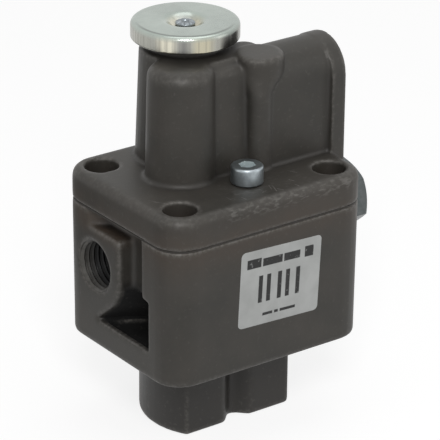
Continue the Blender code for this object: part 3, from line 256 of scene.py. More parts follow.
def stretched(tree, where, scale, turn=(0.0, 0.0, 0.0)):
    return put(tree, "ShaderNodeMapping", {"Vector": where, "Rotation": turn, "Scale": scale})[0]


def window(tree, value, low, high, soft):
    """1 where a value lies between low and high, fading over soft on both sides."""
    rise = spread(tree, value, low - soft, low + soft)
    fall = spread(tree, value, high - soft, high + soft, 1.0, 0.0)
    return maths(tree, "MULTIPLY", rise, fall)


def box_mask(tree, parts, low, high, soft):
    """1 inside a box between two points of the frame."""
    mask = None
    for axis in range(3):
        part = window(tree, parts[axis], low[axis], high[axis], soft)
        mask = part if mask is None else maths(tree, "MULTIPLY", mask, part)
    return mask


def stroke(tree, where, start, end, width):
    """1 on a thin scratch between two points of the frame."""
    start, end = Vector(start), Vector(end)
    along = (end - start).normalized()
    local = put(tree, "ShaderNodeVectorMath", {0: where, 1: start}, operation="SUBTRACT")[0]
    run = put(tree, "ShaderNodeVectorMath", {0: local, 1: along}, operation="DOT_PRODUCT")["Value"]
    run = put(tree, "ShaderNodeClamp", {"Value": run, "Min": 0.0, "Max": (end - start).length})[0]
    foot = put(tree, "ShaderNodeVectorMath", {0: along, "Scale": run}, operation="SCALE")[0]
    away = put(tree, "ShaderNodeVectorMath", {0: local, 1: foot}, operation="DISTANCE")["Value"]
    return spread(tree, away, width * 0.5, width, 1.0, 0.0)


def bumped(tree, shader, height, strength, distance):
    """Gives a shader fine relief; the distance is what a height of 1 stands for."""
    inputs = {"Height": height, "Strength": strength, "Distance": distance}
    normal = put(tree, "ShaderNodeBump", inputs)[0]
    tree.links.new(normal, shader.inputs["Normal"])


def plug_in(tree, shader, colour, roughness):
    tree.links.new(colour, shader.inputs["Base Color"])
    tree.links.new(roughness, shader.inputs["Roughness"])


# Scratches and chips on the castings: start and end on the plan, and width
SCRATCHES = (
    ((-26.6, -10.2, 69.6), (-24.2, -13.4, 69.6), 0.16),
    ((-27.4, -8.6, 69.5), (-26.0, -10.4, 69.6), 0.10),
    ((-31.5, 16.7, 37.0), (-31.5, 16.5, 30.0), 0.16),
    ((-31.0, -19.0, 52.5), (-30.8, -19.6, 50.4), 0.14),
    ((-30.6, -20.6, 47.0), (-30.3, -21.3, 45.0), 0.12),
    ((-30.8, -19.4, 44.0), (-30.6, -20.2, 42.2), 0.14),
    ((13.4, -13.1, 69.5), (14.6, -15.7, 69.5), 0.16),
    ((10.1, -18.3, 69.5), (10.7, -19.6, 69.5), 0.18),
    ((9.5, -21.5, 69.5), (9.8, -22.9, 69.5), 0.16),
    ((3.6, -18.3, 69.5), (2.7, -20.7, 69.5), 0.16),
    ((4.2, -19.1, 69.5), (3.1, -22.3, 69.5), 0.16),
    ((4.1, -21.3, 69.5), (4.9, -22.7, 69.5), 0.18),
    ((-0.5, -21.1, 69.5), (0.9, -20.7, 69.5), 0.16),
    ((0.1, -18.8, 69.5), (0.1, -20.9, 69.5), 0.14),
    ((-6.7, -20.6, 69.5), (-6.5, -22.5, 69.5), 0.14),
    ((-7.0, -17.7, 69.5), (-6.1, -19.1, 69.5), 0.14),
    ((-9.9, -18.4, 69.5), (-9.8, -20.4, 69.5), 0.16),
    ((9.6, -6.2, 86.4), (9.9, -6.1, 86.0), 0.22),
    ((25.0, -10.6, 96.2), (25.5, -10.6, 95.9), 0.25),
)


# Colours of the castings, from painted shade for the pocket and hollows to rubbed metal
CAST_DEEP = (0.004, 0.004, 0.004)
CAST_SHADE = (0.022, 0.020, 0.018)
CAST_DARK = (0.034, 0.032, 0.027)
CAST_LIGHT = (0.056, 0.051, 0.044)
CAST_BROWN = (0.072, 0.053, 0.039)
CAST_FLECK = (0.105, 0.098, 0.088)
CAST_WORN_AND_HIGHLIGHT = (0.150, 0.142, 0.130)
CAST_BRIGHT = (0.420, 0.405, 0.380)


def cast_alloy():
    """Dark satin cast alloy: mottled, brown near the joint, painted shade in hollows and the side pocket,
    edges lightened by wear and a painted highlight, and scuffs along edges.

    The castings carry two attributes: "edge" is above 0 on narrow edges and below 0 in narrow
    grooves, and "broad" does the same for wide forms.
    """
    material, tree, shader = material_of("cast_alloy", (0.06, 0.055, 0.048), 0.5, 0.2)
    where, parts = places(tree)
    edge = put(tree, "ShaderNodeAttribute", attribute_name="edge")["Fac"]
    broad = put(tree, "ShaderNodeAttribute", attribute_name="broad")["Fac"]
    patches = noise(tree, where, 48.0, 5.0, 0.6)
    skin = noise(tree, where, 900.0, 3.0, 0.55)
    grain = noise(tree, where, 4200.0, 2.0)

    colour = blend(tree, spread(tree, patches, 0.36, 0.64), CAST_DARK, CAST_LIGHT)
    # Darker towards the bottom, below 26 mm
    foot = maths(tree, "MULTIPLY", spread(tree, parts[2], 26.0 * MM, 18.0 * MM), 0.75)
    colour = blend(tree, foot, colour, CAST_SHADE)
    rust = maths(tree, "MULTIPLY", noise(tree, where, 130.0, 3.0), 0.9)
    joint = window(tree, parts[2], 55.0 * MM, 66.0 * MM, 4.0 * MM)
    over_port = box_mask(tree, parts, on_plan(-34, -2, 54.5), on_plan(-24, 18, 61), 2.0 * MM)
    joint = maths(tree, "MAXIMUM", joint, maths(tree, "MULTIPLY", over_port, 1.8))
    colour = blend(tree, maths(tree, "MULTIPLY", rust, joint), colour, CAST_BROWN)
    # Dirt and painted shade in narrow grooves
    groove = spread(tree, edge, -0.06, -0.35)
    colour = blend(tree, maths(tree, "MULTIPLY", groove, 0.6), colour, CAST_SHADE)
    # Painted shade in wide hollows, such as between the column and the rib
    valley_shade = spread(tree, broad, -0.1, -2.2, 0.0, 0.85)
    colour = blend(tree, valley_shade, colour, CAST_SHADE)
    # Painted shade: the unlit inside of the side pocket is painted near black
    pocket_shade = maths(
        tree,
        "MULTIPLY",
        spread(tree, parts[0], on_plan(-31.4, 0, 0).x, on_plan(-29.4, 0, 0).x),
        box_mask(tree, parts, on_plan(-40, -15.5, 20), on_plan(-8, 13, 43.5), 1.5 * MM),
    )
    colour = blend(tree, pocket_shade, colour, CAST_DEEP)
    fleck = spread(tree, skin, 0.60, 0.72, 0.0, 0.30)
    colour = blend(tree, fleck, colour, CAST_FLECK)

    # Lighter convex edges: rubbed wear and a painted highlight along the fillets
    edge_patches = spread(tree, skin, 0.40, 0.62, 0.20, 0.80)
    edge_wear_and_highlight = maths(tree, "MULTIPLY", spread(tree, edge, 0.05, 0.30), edge_patches)
    colour = blend(tree, edge_wear_and_highlight, colour, CAST_WORN_AND_HIGHLIGHT)

    # Rubbed marks along the flange's front edge and on its top, and the single scratches
    streaks = noise(tree, stretched(tree, where, (480.0, 480.0, 1300.0), (0.3, 0.0, 0.5)), 1.0, 3.0)
    marks = noise(tree, stretched(tree, where, (520.0, 1500.0, 900.0), (0.0, 0.0, 0.9)), 1.0, 2.0)
    front = box_mask(tree, parts, on_plan(-14, -27, 66.2), on_plan(26, -23.0, 69.3), 0.9 * MM)
    top = box_mask(tree, parts, on_plan(-10, -23, 69.0), on_plan(16, -13, 70.2), 1.2 * MM)
    scuff = maths(tree, "MULTIPLY", front, spread(tree, streaks, 0.50, 0.64, 0.0, 0.17))
    rubbed = maths(tree, "MULTIPLY", top, spread(tree, marks, 0.56, 0.66, 0.0, 0.10))
    scuff = maths(tree, "MAXIMUM", scuff, rubbed)
    for start, end, width in SCRATCHES:
        line = stroke(tree, where, on_plan(*start), on_plan(*end), width * MM)
        line = maths(tree, "MULTIPLY", line, spread(tree, skin, 0.40, 0.60, 0.10, 0.34))
        scuff = maths(tree, "MAXIMUM", scuff, line)
    colour = blend(tree, scuff, colour, CAST_BRIGHT)

    rough = spread(tree, patches, 0.3, 0.7, 0.44, 0.56)
    rough = maths(tree, "SUBTRACT", rough, maths(tree, "MULTIPLY", scuff, 0.12))
    rough = maths(tree, "MAXIMUM", rough, pocket_shade)
    plug_in(tree, shader, colour=colour, roughness=rough)
    height = maths(tree, "ADD", maths(tree, "MULTIPLY", grain, 0.35), skin)
    height = maths(tree, "ADD", height, maths(tree, "MULTIPLY", scuff, 2.0))
    bumped(tree, shader, height, 0.35, 0.07 * MM)
    return material


def plated(name, colour, tint, roughness, brushed=(1.0, 1.0, 1.0)):
    """Bright plated steel with fine scratches and faint stains."""
    material, tree, shader = material_of(name, colour, roughness, 1.0)
    where, _ = places(tree)
    stains = noise(tree, where, 420.0, 4.0, 0.6)
    lines = noise(tree, stretched(tree, where, tuple(900.0 * s for s in brushed)), 1.0, 2.0)
    paint = blend(tree, spread(tree, stains, 0.35, 0.7), colour, tint)
    rough = spread(tree, stains, 0.3, 0.7, roughness - 0.05, roughness + 0.07)
    plug_in(tree, shader, colour=paint, roughness=rough)
    bumped(tree, shader, lines, 0.06, 0.02 * MM)
    return material


# The cap: its radius, the directions across and out of its lit side, and painted reflections as light and
# dark bands round its side (low and high end along CAP_RUN in cap radii, strength, tint)
CAP_RADIUS = 14.25
CAP_RUN = (0.806, -0.592, 0.0)
CAP_FRONT = (-0.592, -0.806, 0.0)
CAP_REFLECTION_BANDS = (
    (-0.95, -0.80, 0.5, (0.52, 0.52, 0.47)),
    (-0.48, -0.18, 0.9, (0.74, 0.71, 0.58)),
    (-0.08, 0.06, 0.8, (0.20, 0.20, 0.20)),
    (0.17, 0.50, 0.8, (0.56, 0.52, 0.38)),
    (0.68, 0.94, 0.9, (0.06, 0.06, 0.06)),
)


def pressed_zinc():
    """Greenish zinc plate: faint stains on top, painted reflections as upright warm, cool and dark bands
    round the side, fine upright streaks, and a painted dark line on the front of the top's edge.
    """
    material, tree, shader = material_of("cap_zinc", (0.40, 0.44, 0.41), 0.26, 1.0)
    where, parts = places(tree)
    stains = noise(tree, where, 120.0, 4.0, 0.6)
    top = blend(tree, spread(tree, stains, 0.35, 0.7), (0.42, 0.47, 0.43), (0.36, 0.40, 0.37))
    run = put(tree, "ShaderNodeVectorMath", {0: where, 1: CAP_RUN}, operation="DOT_PRODUCT")["Value"]
    side = (0.40, 0.40, 0.36)
    # Painted reflections: light, warm and dark bands round the side, fixed across the view
    for low, high, share, tint in CAP_REFLECTION_BANDS:
        reflection_band = window(tree, run, low * CAP_RADIUS * MM, high * CAP_RADIUS * MM, 0.9 * MM)
        side = blend(tree, maths(tree, "MULTIPLY", reflection_band, share), side, tint)
    fine = noise(tree, stretched(tree, where, (1300.0, 1300.0, 12.0)), 1.0, 2.0)
    side = blend(tree, spread(tree, fine, 0.45, 0.75, 0.0, 0.6), side, (0.24, 0.23, 0.21))
    flat = put(tree, "ShaderNodeVectorMath", {0: where, 1: (1.0, 1.0, 0.0)}, operation="MULTIPLY")[0]
    reach = put(tree, "ShaderNodeVectorMath", {0: flat}, operation="LENGTH")["Value"]
    facing = put(tree, "ShaderNodeVectorMath", {0: where, 1: CAP_FRONT}, operation="DOT_PRODUCT")["Value"]
    # Painted reflection: a dark line round the top's rounded edge, on the side that faces the camera
    ring = window(tree, reach, 12.5 * MM, 13.2 * MM, 0.25 * MM)
    ring = maths(tree, "MULTIPLY", ring, spread(tree, facing, 2.0 * MM, 8.0 * MM, 0.0, 0.7))
    top = blend(tree, ring, top, (0.13, 0.14, 0.13))
    height = spread(tree, parts[2], 3.0 * MM, 4.3 * MM)
    rough = spread(tree, stains, 0.3, 0.7, 0.20, 0.30)
    plug_in(tree, shader, colour=blend(tree, height, side, top), roughness=rough)
    bumped(tree, shader, stains, 0.10, 0.10 * MM)
    return material


def port_thread_metal():
    """Cut thread with painted shade that darkens it with depth; the pieces' X axes run along the ports.
    """
    material, tree, shader = material_of("port_thread", (0.07, 0.067, 0.060), 0.42, 0.4)
    where, parts = places(tree)
    depth = maths(tree, "ABSOLUTE", parts[0])
    dirt = noise(tree, where, 600.0, 3.0)
    colour = blend(tree, spread(tree, dirt, 0.4, 0.7), (0.080, 0.076, 0.068), (0.045, 0.042, 0.038))
    # Painted shade deeper into the port
    colour = blend(tree, spread(tree, depth, 0.6 * MM, 5.0 * MM), colour, (0.006, 0.006, 0.006))
    plug_in(tree, shader, colour=colour, roughness=spread(tree, dirt, 0.3, 0.7, 0.36, 0.5))
    bumped(tree, shader, dirt, 0.15, 0.03 * MM)
    return material


def plain_metal(name, colour, roughness):
    """Machined metal with faint darker clouds."""
    material, tree, shader = material_of(name, colour, roughness, 1.0)
    where, _ = places(tree)
    cloud = noise(tree, where, 420.0, 4.0)
    darker = tuple(0.72 * c for c in colour)
    paint = blend(tree, spread(tree, cloud, 0.4, 0.7), colour, darker)
    rough = spread(tree, cloud, 0.3, 0.7, roughness - 0.05, roughness + 0.1)
    plug_in(tree, shader, colour=paint, roughness=rough)
    bumped(tree, shader, noise(tree, where, 3000.0, 2.0), 0.1, 0.02 * MM)
    return material


def matt_black(name, one, two):
    """Rubber or paste that varies between two near-black colours."""
    material, tree, shader = material_of(name, one, 0.6, 0.0)
    where, _ = places(tree)
    cloud = noise(tree, where, 700.0, 4.0)
    rough = spread(tree, cloud, 0.3, 0.7, 0.5, 0.7)
    plug_in(tree, shader, colour=blend(tree, cloud, one, two), roughness=rough)
    bumped(tree, shader, cloud, 0.2, 0.05 * MM)
    return material


# Plain dark bars on the label: left, right, low and high edges from its middle
LABEL_BARS = (
    (-10.9, -6.4, 5.7, 8.3),
    (-5.9, 0.4, 5.7, 7.9),
    (0.9, 6.1, 5.7, 7.9),
    (7.6, 10.4, 5.4, 8.4),
    (-6.9, -5.6, -4.4, 3.2),
    (-4.3, -3.0, -4.4, 3.2),
    (-0.8, 0.5, -4.4, 3.2),
    (1.8, 3.1, -4.4, 3.2),
    (5.1, 6.4, -4.4, 3.2),
    (-5.2, -2.0, -8.3, -7.5),
    (-1.4, -0.2, -8.3, -7.5),
    (0.4, 5.4, -8.3, -7.5),
)


def label_foil():
    """Silver foil with a crease, and plain dark bars where a label would be printed."""
    material, tree, shader = material_of("label_foil", (0.40, 0.41, 0.40), 0.42, 0.35)
    where, parts = places(tree)
    across, up = parts[0], parts[1]
    soft = 0.06 * MM
    bars = None
    for left, right, low, high in LABEL_BARS:
        wide = window(tree, across, left * MM, right * MM, soft)
        tall = window(tree, up, low * MM, high * MM, soft)
        bar = maths(tree, "MULTIPLY", wide, tall)
        bars = bar if bars is None else maths(tree, "MAXIMUM", bars, bar)
    worn = spread(tree, noise(tree, where, 900.0, 3.0), 0.62, 0.70, 1.0, 0.55)
    cloud = noise(tree, where, 140.0, 4.0)
    foil = blend(tree, spread(tree, cloud, 0.35, 0.65), (0.43, 0.44, 0.43), (0.52, 0.53, 0.52))
    colour = blend(tree, maths(tree, "MULTIPLY", bars, worn), foil, (0.020, 0.020, 0.020))
    bend = maths(tree, "MULTIPLY", noise(tree, where, 90.0, 2.0), 2.4 * MM)
    crease = maths(tree, "SUBTRACT", maths(tree, "ADD", across, bend), 2.4 * MM)
    crease = maths(tree, "ABSOLUTE", crease)
    fold = spread(tree, crease, 0.0, 1.1 * MM, 1.0, 0.0)
    plug_in(tree, shader, colour=colour, roughness=spread(tree, cloud, 0.3, 0.7, 0.36, 0.48))
    ripple = maths(tree, "MULTIPLY", noise(tree, where, 420.0, 3.0), 0.35)
    height = maths(tree, "ADD", fold, ripple)
    bumped(tree, shader, height, 0.7, 0.16 * MM)
    return material


cast = cast_alloy()
zinc = plated("screw_zinc", (0.44, 0.49, 0.51), (0.27, 0.30, 0.32), 0.36, (0.4, 0.4, 1.6))
# Painted highlight: a lighter zinc for the socket's walls
socket_highlight_zinc = plated("socket_highlight_zinc", (0.80, 0.86, 0.86), (0.60, 0.66, 0.67), 0.5)
rivet_zinc = plated("rivet_zinc", (0.30, 0.33, 0.35), (0.17, 0.19, 0.20), 0.34)
dull_zinc = plated("plug_zinc", (0.13, 0.14, 0.14), (0.08, 0.09, 0.09), 0.34)
cap_zinc = pressed_zinc()
thread_metal = port_thread_metal()
steel = plain_metal("bright_steel", (0.50, 0.50, 0.51), 0.30)
spring_wire = plain_metal("spring_steel", (0.28, 0.28, 0.30), 0.36)
brass = plain_metal("brass", (0.55, 0.42, 0.18), 0.32)
copper = plain_metal("copper", (0.60, 0.30, 0.18), 0.38)
rubber = matt_black("rubber", (0.012, 0.012, 0.012), (0.030, 0.029, 0.028))
paste = matt_black("sealing_paste", (0.020, 0.017, 0.014), (0.040, 0.034, 0.028))
foil = label_foil()


def dressed(obj, material, body="valve_body", node=None):
    """Gives a new piece its material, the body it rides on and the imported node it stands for."""
    obj.data.materials.clear()
    obj.data.materials.append(material)
    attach(obj, body)
    if node:
        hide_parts(node)
    return obj


# ---- castings

def neighbour_means(points, ends, degree):
    """The mean of each vertex's neighbours."""
    total = np.zeros_like(points)
    for axis in range(points.shape[1]):
        column = points[:, axis]
        total[:, axis] = np.bincount(ends[:, 0], column[ends[:, 1]], len(points))
        total[:, axis] += np.bincount(ends[:, 1], column[ends[:, 0]], len(points))
    return total / degree[:, None]


def opened_copy(name, node, port, into, voxel):
    """An evenly meshed copy of a packed casting with its port opened to the thread's root."""
    shape = bmesh.new()
    shape.from_mesh(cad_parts[node].data)
    bmesh.ops.remove_doubles(shape, verts=shape.verts, dist=1e-6)
    obj = new_piece(name, shape)
    profile = [(0, -1), (THREAD_MOUTH, -1), (THREAD_MOUTH, 0), (THREAD_ROOT, 0.3)]
    profile += [(THREAD_ROOT, THREAD_DEPTH - 0.4), (0, THREAD_DEPTH - 0.4)]
    combined(obj, stood(revolved("bore", profile), on_plan(*port), into), "DIFFERENCE")
    step = obj.modifiers.new("even", "REMESH")
    step.mode = "VOXEL"
    step.voxel_size = voxel * MM
    return applied(obj)


def beside_lower_port(points):
    """Marks the vertices of the recess and of the walls round the lower port's boss."""
    corner = np.array(on_plan(-25.5, -13.0, 28.0))
    near = (points[:, 0] < corner[0]) & (points[:, 1] > corner[1]) & (points[:, 2] > corner[2])
    middle = np.array(on_plan(*LOWER_PORT))
    away = np.hypot(points[:, 1] - middle[1], points[:, 2] - middle[2])
    return near & (away > 9.0 * MM)


def eased(points, ends, degree, share, rounds):
    """Moves vertices a share of the way to their neighbours' mean, some rounds long."""
    for _ in range(rounds):
        points += share * (neighbour_means(points, ends, degree) - points)
    return points


def softened_casting(name, node, port, into, voxel, rounds):
    """A fine copy of a packed casting with rounded edges, crisp only at the castings' joint."""
    obj = opened_copy(name, node, port, into, voxel)
    mesh = obj.data
    points = np.empty(len(mesh.vertices) * 3, np.float32)
    mesh.vertices.foreach_get("co", points)
    points = points.reshape(-1, 3).astype(float)
    ends = np.empty(len(mesh.edges) * 2, np.int32)
    mesh.edges.foreach_get("vertices", ends)
    ends = ends.reshape(-1, 2)
    degree = np.bincount(ends.ravel(), minlength=len(points)).astype(float)

    crisp = np.abs(points[:, 2] / MM - (BOX_TOP + FLANGE_BOTTOM) / 2) < 0.7
    share = np.where(crisp, 0.12, 0.6)[:, None]
    worn = beside_lower_port(points)[:, None]
    eased(points, ends, degree, share, rounds)
    eased(points, ends, degree, share * worn, 9)
    low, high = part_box(node)
    points = np.clip(points, np.array(low), np.array(high))
    mesh.vertices.foreach_set("co", points.astype(np.float32).ravel())
    mesh.update()

    normals = np.empty(len(points) * 3, np.float32)
    mesh.vertices.foreach_get("normal", normals)
    normals = normals.reshape(-1, 3)
    for title, reach in (("edge", 6), ("broad", 45)):
        bulge = eased(points.copy(), ends, degree, 0.7, reach)
        bulge = ((points - bulge) * normals).sum(1)[:, None] / (voxel * MM)
        eased(bulge, ends, degree, 0.6, 3)
        attribute = mesh.attributes.new(title, "FLOAT", "POINT")
        attribute.data.foreach_set("value", bulge[:, 0].astype(np.float32))
    mesh.shade_smooth()
    return obj


lower = softened_casting("lower_casting", "lower_housing", LOWER_PORT, ALONG_X, 0.45, 3)
dressed(lower, cast, node="lower_housing")
upper = softened_casting("upper_casting", "upper_housing", UPPER_PORT, AGAINST_X, 0.42, 3)
dressed(upper, cast, node="upper_housing")


# ---- threads in the two ports

def thread(name, port, into):
    """A ring whose inside is a helical thread, its crests cut back by the port's lead-in cone."""
    facets, rows = 72, 110
    first, run = 0.35, THREAD_DEPTH - 0.9
    back = THREAD_ROOT + 0.2
    shape = bmesh.new()
    rings = []
    for row in range(rows + 1):
        depth = first + run * row / rows
        cone = THREAD_MOUTH - depth
        ring = []
        for i in range(facets):
            turn = i / facets
            wave = abs(2 * ((depth / THREAD_PITCH - turn) % 1.0) - 1)
            flat = min(max(wave * 1.3 - 0.15, 0.0), 1.0)
            r = max(THREAD_CREST + (THREAD_ROOT - 0.08 - THREAD_CREST) * flat, cone)
            angle = 2 * math.pi * turn
            ring.append(shape.verts.new(Vector((r * math.cos(angle), r * math.sin(angle), depth)) * MM))
        rings.append(ring)
    for depth in (THREAD_DEPTH - 0.5, 0.3):
        ring = []
        for i in range(facets):
            angle = 2 * math.pi * i / facets
            point = Vector((math.cos(angle) * back, math.sin(angle) * back, depth))
            ring.append(shape.verts.new(point * MM))
        rings.append(ring)
    bridged(shape, zip(rings, rings[1:] + rings[:1]))
    bmesh.ops.recalc_face_normals(shape, faces=shape.faces)
    obj = stood(new_piece(name, shape, 60), on_plan(*port), into)
    return dressed(obj, thread_metal)


thread("lower_port_thread", LOWER_PORT, ALONG_X)
thread("upper_port_thread", UPPER_PORT, AGAINST_X)


# ---- joint between the castings

def rounded_box(half_x, half_y, corner, steps=10):
    """The outline of a rectangle with round corners."""
    outline = []
    for cx, cy, start in ((1, 1, 0), (-1, 1, 90), (-1, -1, 180), (1, -1, 270)):
        for k in range(steps + 1):
            angle = math.radians(start + 90 * k / steps)
            x = cx * (half_x - corner) + corner * math.cos(angle)
            outline.append((x, cy * (half_y - corner) + corner * math.sin(angle)))
    return outline


def make_joint_line():
    """A thin dark band of sealing paste that fills most of the gap between the castings."""
    outer, inner = 0.22, 1.5
    low, high = BOX_TOP - 0.05, FLANGE_BOTTOM + 0.05
    shape = bmesh.new()
    rings = []
    for inset, z in ((outer, low), (outer, high), (inner, high), (inner, low)):
        outline = rounded_box(BOX_HALF_X - inset, BOX_HALF_Y - inset, BOX_CORNER - inset)
        rings.append([shape.verts.new(on_plan(x, y, z)) for x, y in outline])
    bridged(shape, zip(rings, rings[1:] + rings[:1]))
    bmesh.ops.recalc_face_normals(shape, faces=shape.faces)
    return dressed(new_piece("joint_line", shape), paste)


make_joint_line()


# ---- label on the broad face

def make_label():
    """Thin foil with round corners that follows the face's slight taper."""
    x, z = 2.5, 45.15
    width, height, corner, tilt = 25.75, 21.3, 1.3, -2.4
    shape = bmesh.new()
    outline = rounded_box(width / 2, height / 2, corner, 6)
    rings = []
    for level, shrink in ((-0.02, 1.0), (0.0, 1.0), (0.018, 0.996), (0.02, 0.985)):
        corners = [Vector((u * shrink, v * shrink, level)) * MM for u, v in outline]
        rings.append([shape.verts.new(corner) for corner in corners])
    bridged(shape, zip(rings, rings[1:]))
    capped(shape, rings)
    bmesh.ops.recalc_face_normals(shape, faces=shape.faces)
    label = new_piece("label", shape)
    lean = math.atan(BOX_TAPER)
    y = -BOX_HALF_Y + (BOX_TOP - z) * BOX_TAPER
    upright = Matrix.Rotation(math.radians(90) + lean, 4, "X")
    turn = upright @ Matrix.Rotation(math.radians(tilt), 4, "Z")
    label.matrix_world = Matrix.Translation(on_plan(x, y, z)) @ turn
    return dressed(label, foil)


make_label()


# ---- cap, rivet, screw and plug

def underside(node):
    """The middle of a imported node's underside."""
    low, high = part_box(node)
    return Vector(((low.x + high.x) / 2, (low.y + high.y) / 2, low.z))


def plug_end(node):
    """The point on the plug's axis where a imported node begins."""
    return Vector((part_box(node)[0].x, PLUG_AXIS.y, PLUG_AXIS.z))


def make_cap():
    """Pressed sheet with a dished middle, open below."""
    r = CAP_RADIUS
    corners = [(r, 0.0, 0.4), (r, 4.5, 1.5), (5.4, 4.5, 1.3), (3.5, 3.0, 0.7), (1.6, 3.0, 0)]
    corners += [(1.6, 2.1, 0), (3.7, 2.1, 0.5), (5.5, 3.6, 0.8), (13.35, 3.6, 0.9), (13.35, 0.0, 0.3)]
    cap = stood(revolved("pressed_cap", rounded(corners, 8), 128, 60), underside("vent_cap"))
    return dressed(cap, cap_zinc, node="vent_cap")


def make_rivet():
    """Rivet with a crimped head: a hollow middle and small notches round it."""
    low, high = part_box("cap_rivet")
    top = (high.z - low.z) / MM
    seat = top - 0.8
    notches, inner, outer, cut = 8, 1.2, 2.5, 0.22
    corners = [(0, 0, 0), (1.3, 0, 0.2), (1.3, seat, 0.0), (2.6, seat, 0.0), (2.6, top - 0.35, 0.3)]
    corners += [(1.9, top, 0.3), (1.0, top, 0.2), (0.8, top - 0.45, 0.15), (0, top - 0.45, 0)]
    rivet = revolved("crimped_rivet", rounded(corners, 4), 96, 50)
    for vertex in rivet.data.vertices:
        x, y, z = vertex.co / MM
        reach = math.hypot(x, y)
        if z > seat + 0.2 and inner < reach < outer:
            wave = max(0.0, math.cos(notches * math.atan2(y, x))) ** 3
            vertex.co.z -= cut * MM * wave * min(1.0, (reach - inner) / 0.4)
    stood(rivet, underside("cap_rivet"))
    return dressed(rivet, rivet_zinc, node="cap_rivet")


def make_screw():
    """Socket screw whose socket has lighter walls, as they catch the light in the photograph."""
    length, head, pocket_shade, flats = 20.0, 4.7, 2.6, 4.0
    top = length + head
    corners = [(0, 0, 0), (2.1, 0, 0), (2.5, 0.4, 0), (2.5, length, 0), (4.25, length, 0.25)]
    corners += [(4.25, top, 0.75), (0, top, 0)]
    screw = revolved("cap_screw", rounded(corners, 6), 96, 50)
    combined(screw, prism("socket", hexagon(flats, 12.0), top - pocket_shade, top + 1), "DIFFERENCE")
    screw.data.shade_smooth()
    screw.data.set_sharp_from_angle(angle=math.radians(40))
    stood(screw, underside("flange_screw"))
    dressed(screw, zinc, node="flange_screw")
    # Painted highlight: the socket's upright walls take the lighter zinc
    screw.data.materials.append(socket_highlight_zinc)
    for face in screw.data.polygons:
        x, y, z = face.center / MM
        if z > top - pocket_shade - 0.1 and math.hypot(x, y) < 2.25 and abs(face.normal.z) < 0.5:
            face.material_index = 1
    return screw


def make_plug():
    """Collared plug: hexagon head with the usual turned chamfer on its outer end."""
    low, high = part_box("hex_plug")
    shank, collar = 11.0, 12.6
    end = (high.x - low.x) / MM
    corners = [(0, 4.0, 0), (2.9, 4.0, 0), (2.9, 0, 0), (5.0, 0, 0.3), (5.7, 0.8, 0), (5.7, shank, 0)]
    corners += [(9.5, shank, 0.25), (9.5, collar, 0.35), (0, collar, 0)]
    plug = revolved("plug_body", rounded(corners, 4), 96, 45)
    head = prism("head", hexagon(17.0, -10.0), collar - 0.8, end)
    cone = [(0, collar - 2), (11, collar - 2), (11, end - 1.4), (8.2, end), (0, end)]
    combined(head, revolved("limit", cone), "INTERSECT")
    combined(plug, head, "UNION")
    plug.data.shade_smooth()
    plug.data.set_sharp_from_angle(angle=math.radians(20))
    stood(plug, plug_end("hex_plug"), ALONG_X)
    return dressed(plug, dull_zinc, node="hex_plug")


def make_washer():
    """Soft flat ring under the plug's collar."""
    corners = [(6.3, 0, 0.15), (9.5, 0, 0.3), (9.5, 1.0, 0.3), (6.3, 1.0, 0.15)]
    washer = revolved("soft_washer", rounded(corners, 4), 96, 50)
    stood(washer, plug_end("plug_washer"), ALONG_X)
    return dressed(washer, copper, node="plug_washer")


PLUG_AXIS = on_plan(0.0, 0.0, 51.6)
make_cap()
make_rivet()
make_screw()
make_plug()
make_washer()


# ---- springs

def make_coil(name, node, turns, wire, along_x=False):
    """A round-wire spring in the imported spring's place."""
    low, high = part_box(node)
    middle = (low + high) / 2
    if along_x:
        base = Vector((low.x, middle.y, middle.z))
        length, radius = high.x - low.x, (high.z - low.z) / 2
    else:
        base = Vector((middle.x, middle.y, low.z))
        length, radius = high.z - low.z, (high.x - low.x) / 2
    thick = wire * MM / 2
    radius -= thick * 1.04
    rise = length - 2 * thick
    steps, sides = int(turns * 40), 12
    shape = bmesh.new()
    rings = []
    for i in range(steps + 1):
        share = i / steps
        angle = 2 * math.pi * turns * share
        z = thick + rise * (share - math.sin(2 * math.pi * share) / (2 * math.pi) * 0.6)
        out = Vector((math.cos(angle), math.sin(angle), 0))
        ring = []
        for k in range(sides):
            around = 2 * math.pi * k / sides
            point = out * (radius + thick * math.cos(around))
            ring.append(shape.verts.new(point + Vector((0, 0, z + thick * math.sin(around)))))
        rings.append(ring)
    bridged(shape, zip(rings, rings[1:]))
    capped(shape, rings)
    bmesh.ops.recalc_face_normals(shape, faces=shape.faces)
    coil = new_piece(name, shape)
    stood(coil, base, ALONG_X if along_x else None)
    dressed(coil, spring_wire, node=node)
    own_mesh(coil)
    return coil


make_coil("tappet_coil", "tappet_spring", 4.0, 1.3)
make_coil("inlet_coil", "inlet_spring", 3.5, 0.7)
make_coil("piston_coil", "piston_spring", 6.5, 1.2)
make_coil("check_coil", "check_spring", 6.5, 0.8, along_x=True)


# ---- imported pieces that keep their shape

KEPT = {
    "retaining_ring": spring_wire,
    "guide_bush": brass,
    "tappet": steel,
    "valve_seat": brass,
    "inlet_valve": rubber,
    "relay_piston": steel,
    "check_valve": brass,
    "vent_flap": rubber,
    "cap_spacer": steel,
    "tappet_seal": rubber,
    "seat_seal": rubber,
    "piston_seal": rubber,
    "joint_seal_chamber": rubber,
    "joint_seal_outlet": rubber,
}
for node, material in KEPT.items():
    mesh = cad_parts[node].data
    if not mesh.materials:
        mesh.materials.append(material)
    for index in range(len(mesh.materials)):
        mesh.materials[index] = material


# ---- studio

def show_background(tree):
    """1 for rays from the camera and for reflected or refracted ones."""
    rays = put(tree, "ShaderNodeLightPath")
    mirror = maths(tree, "MAXIMUM", rays["Is Glossy Ray"], rays["Is Transmission Ray"])
    return maths(tree, "MAXIMUM", rays["Is Camera Ray"], mirror)


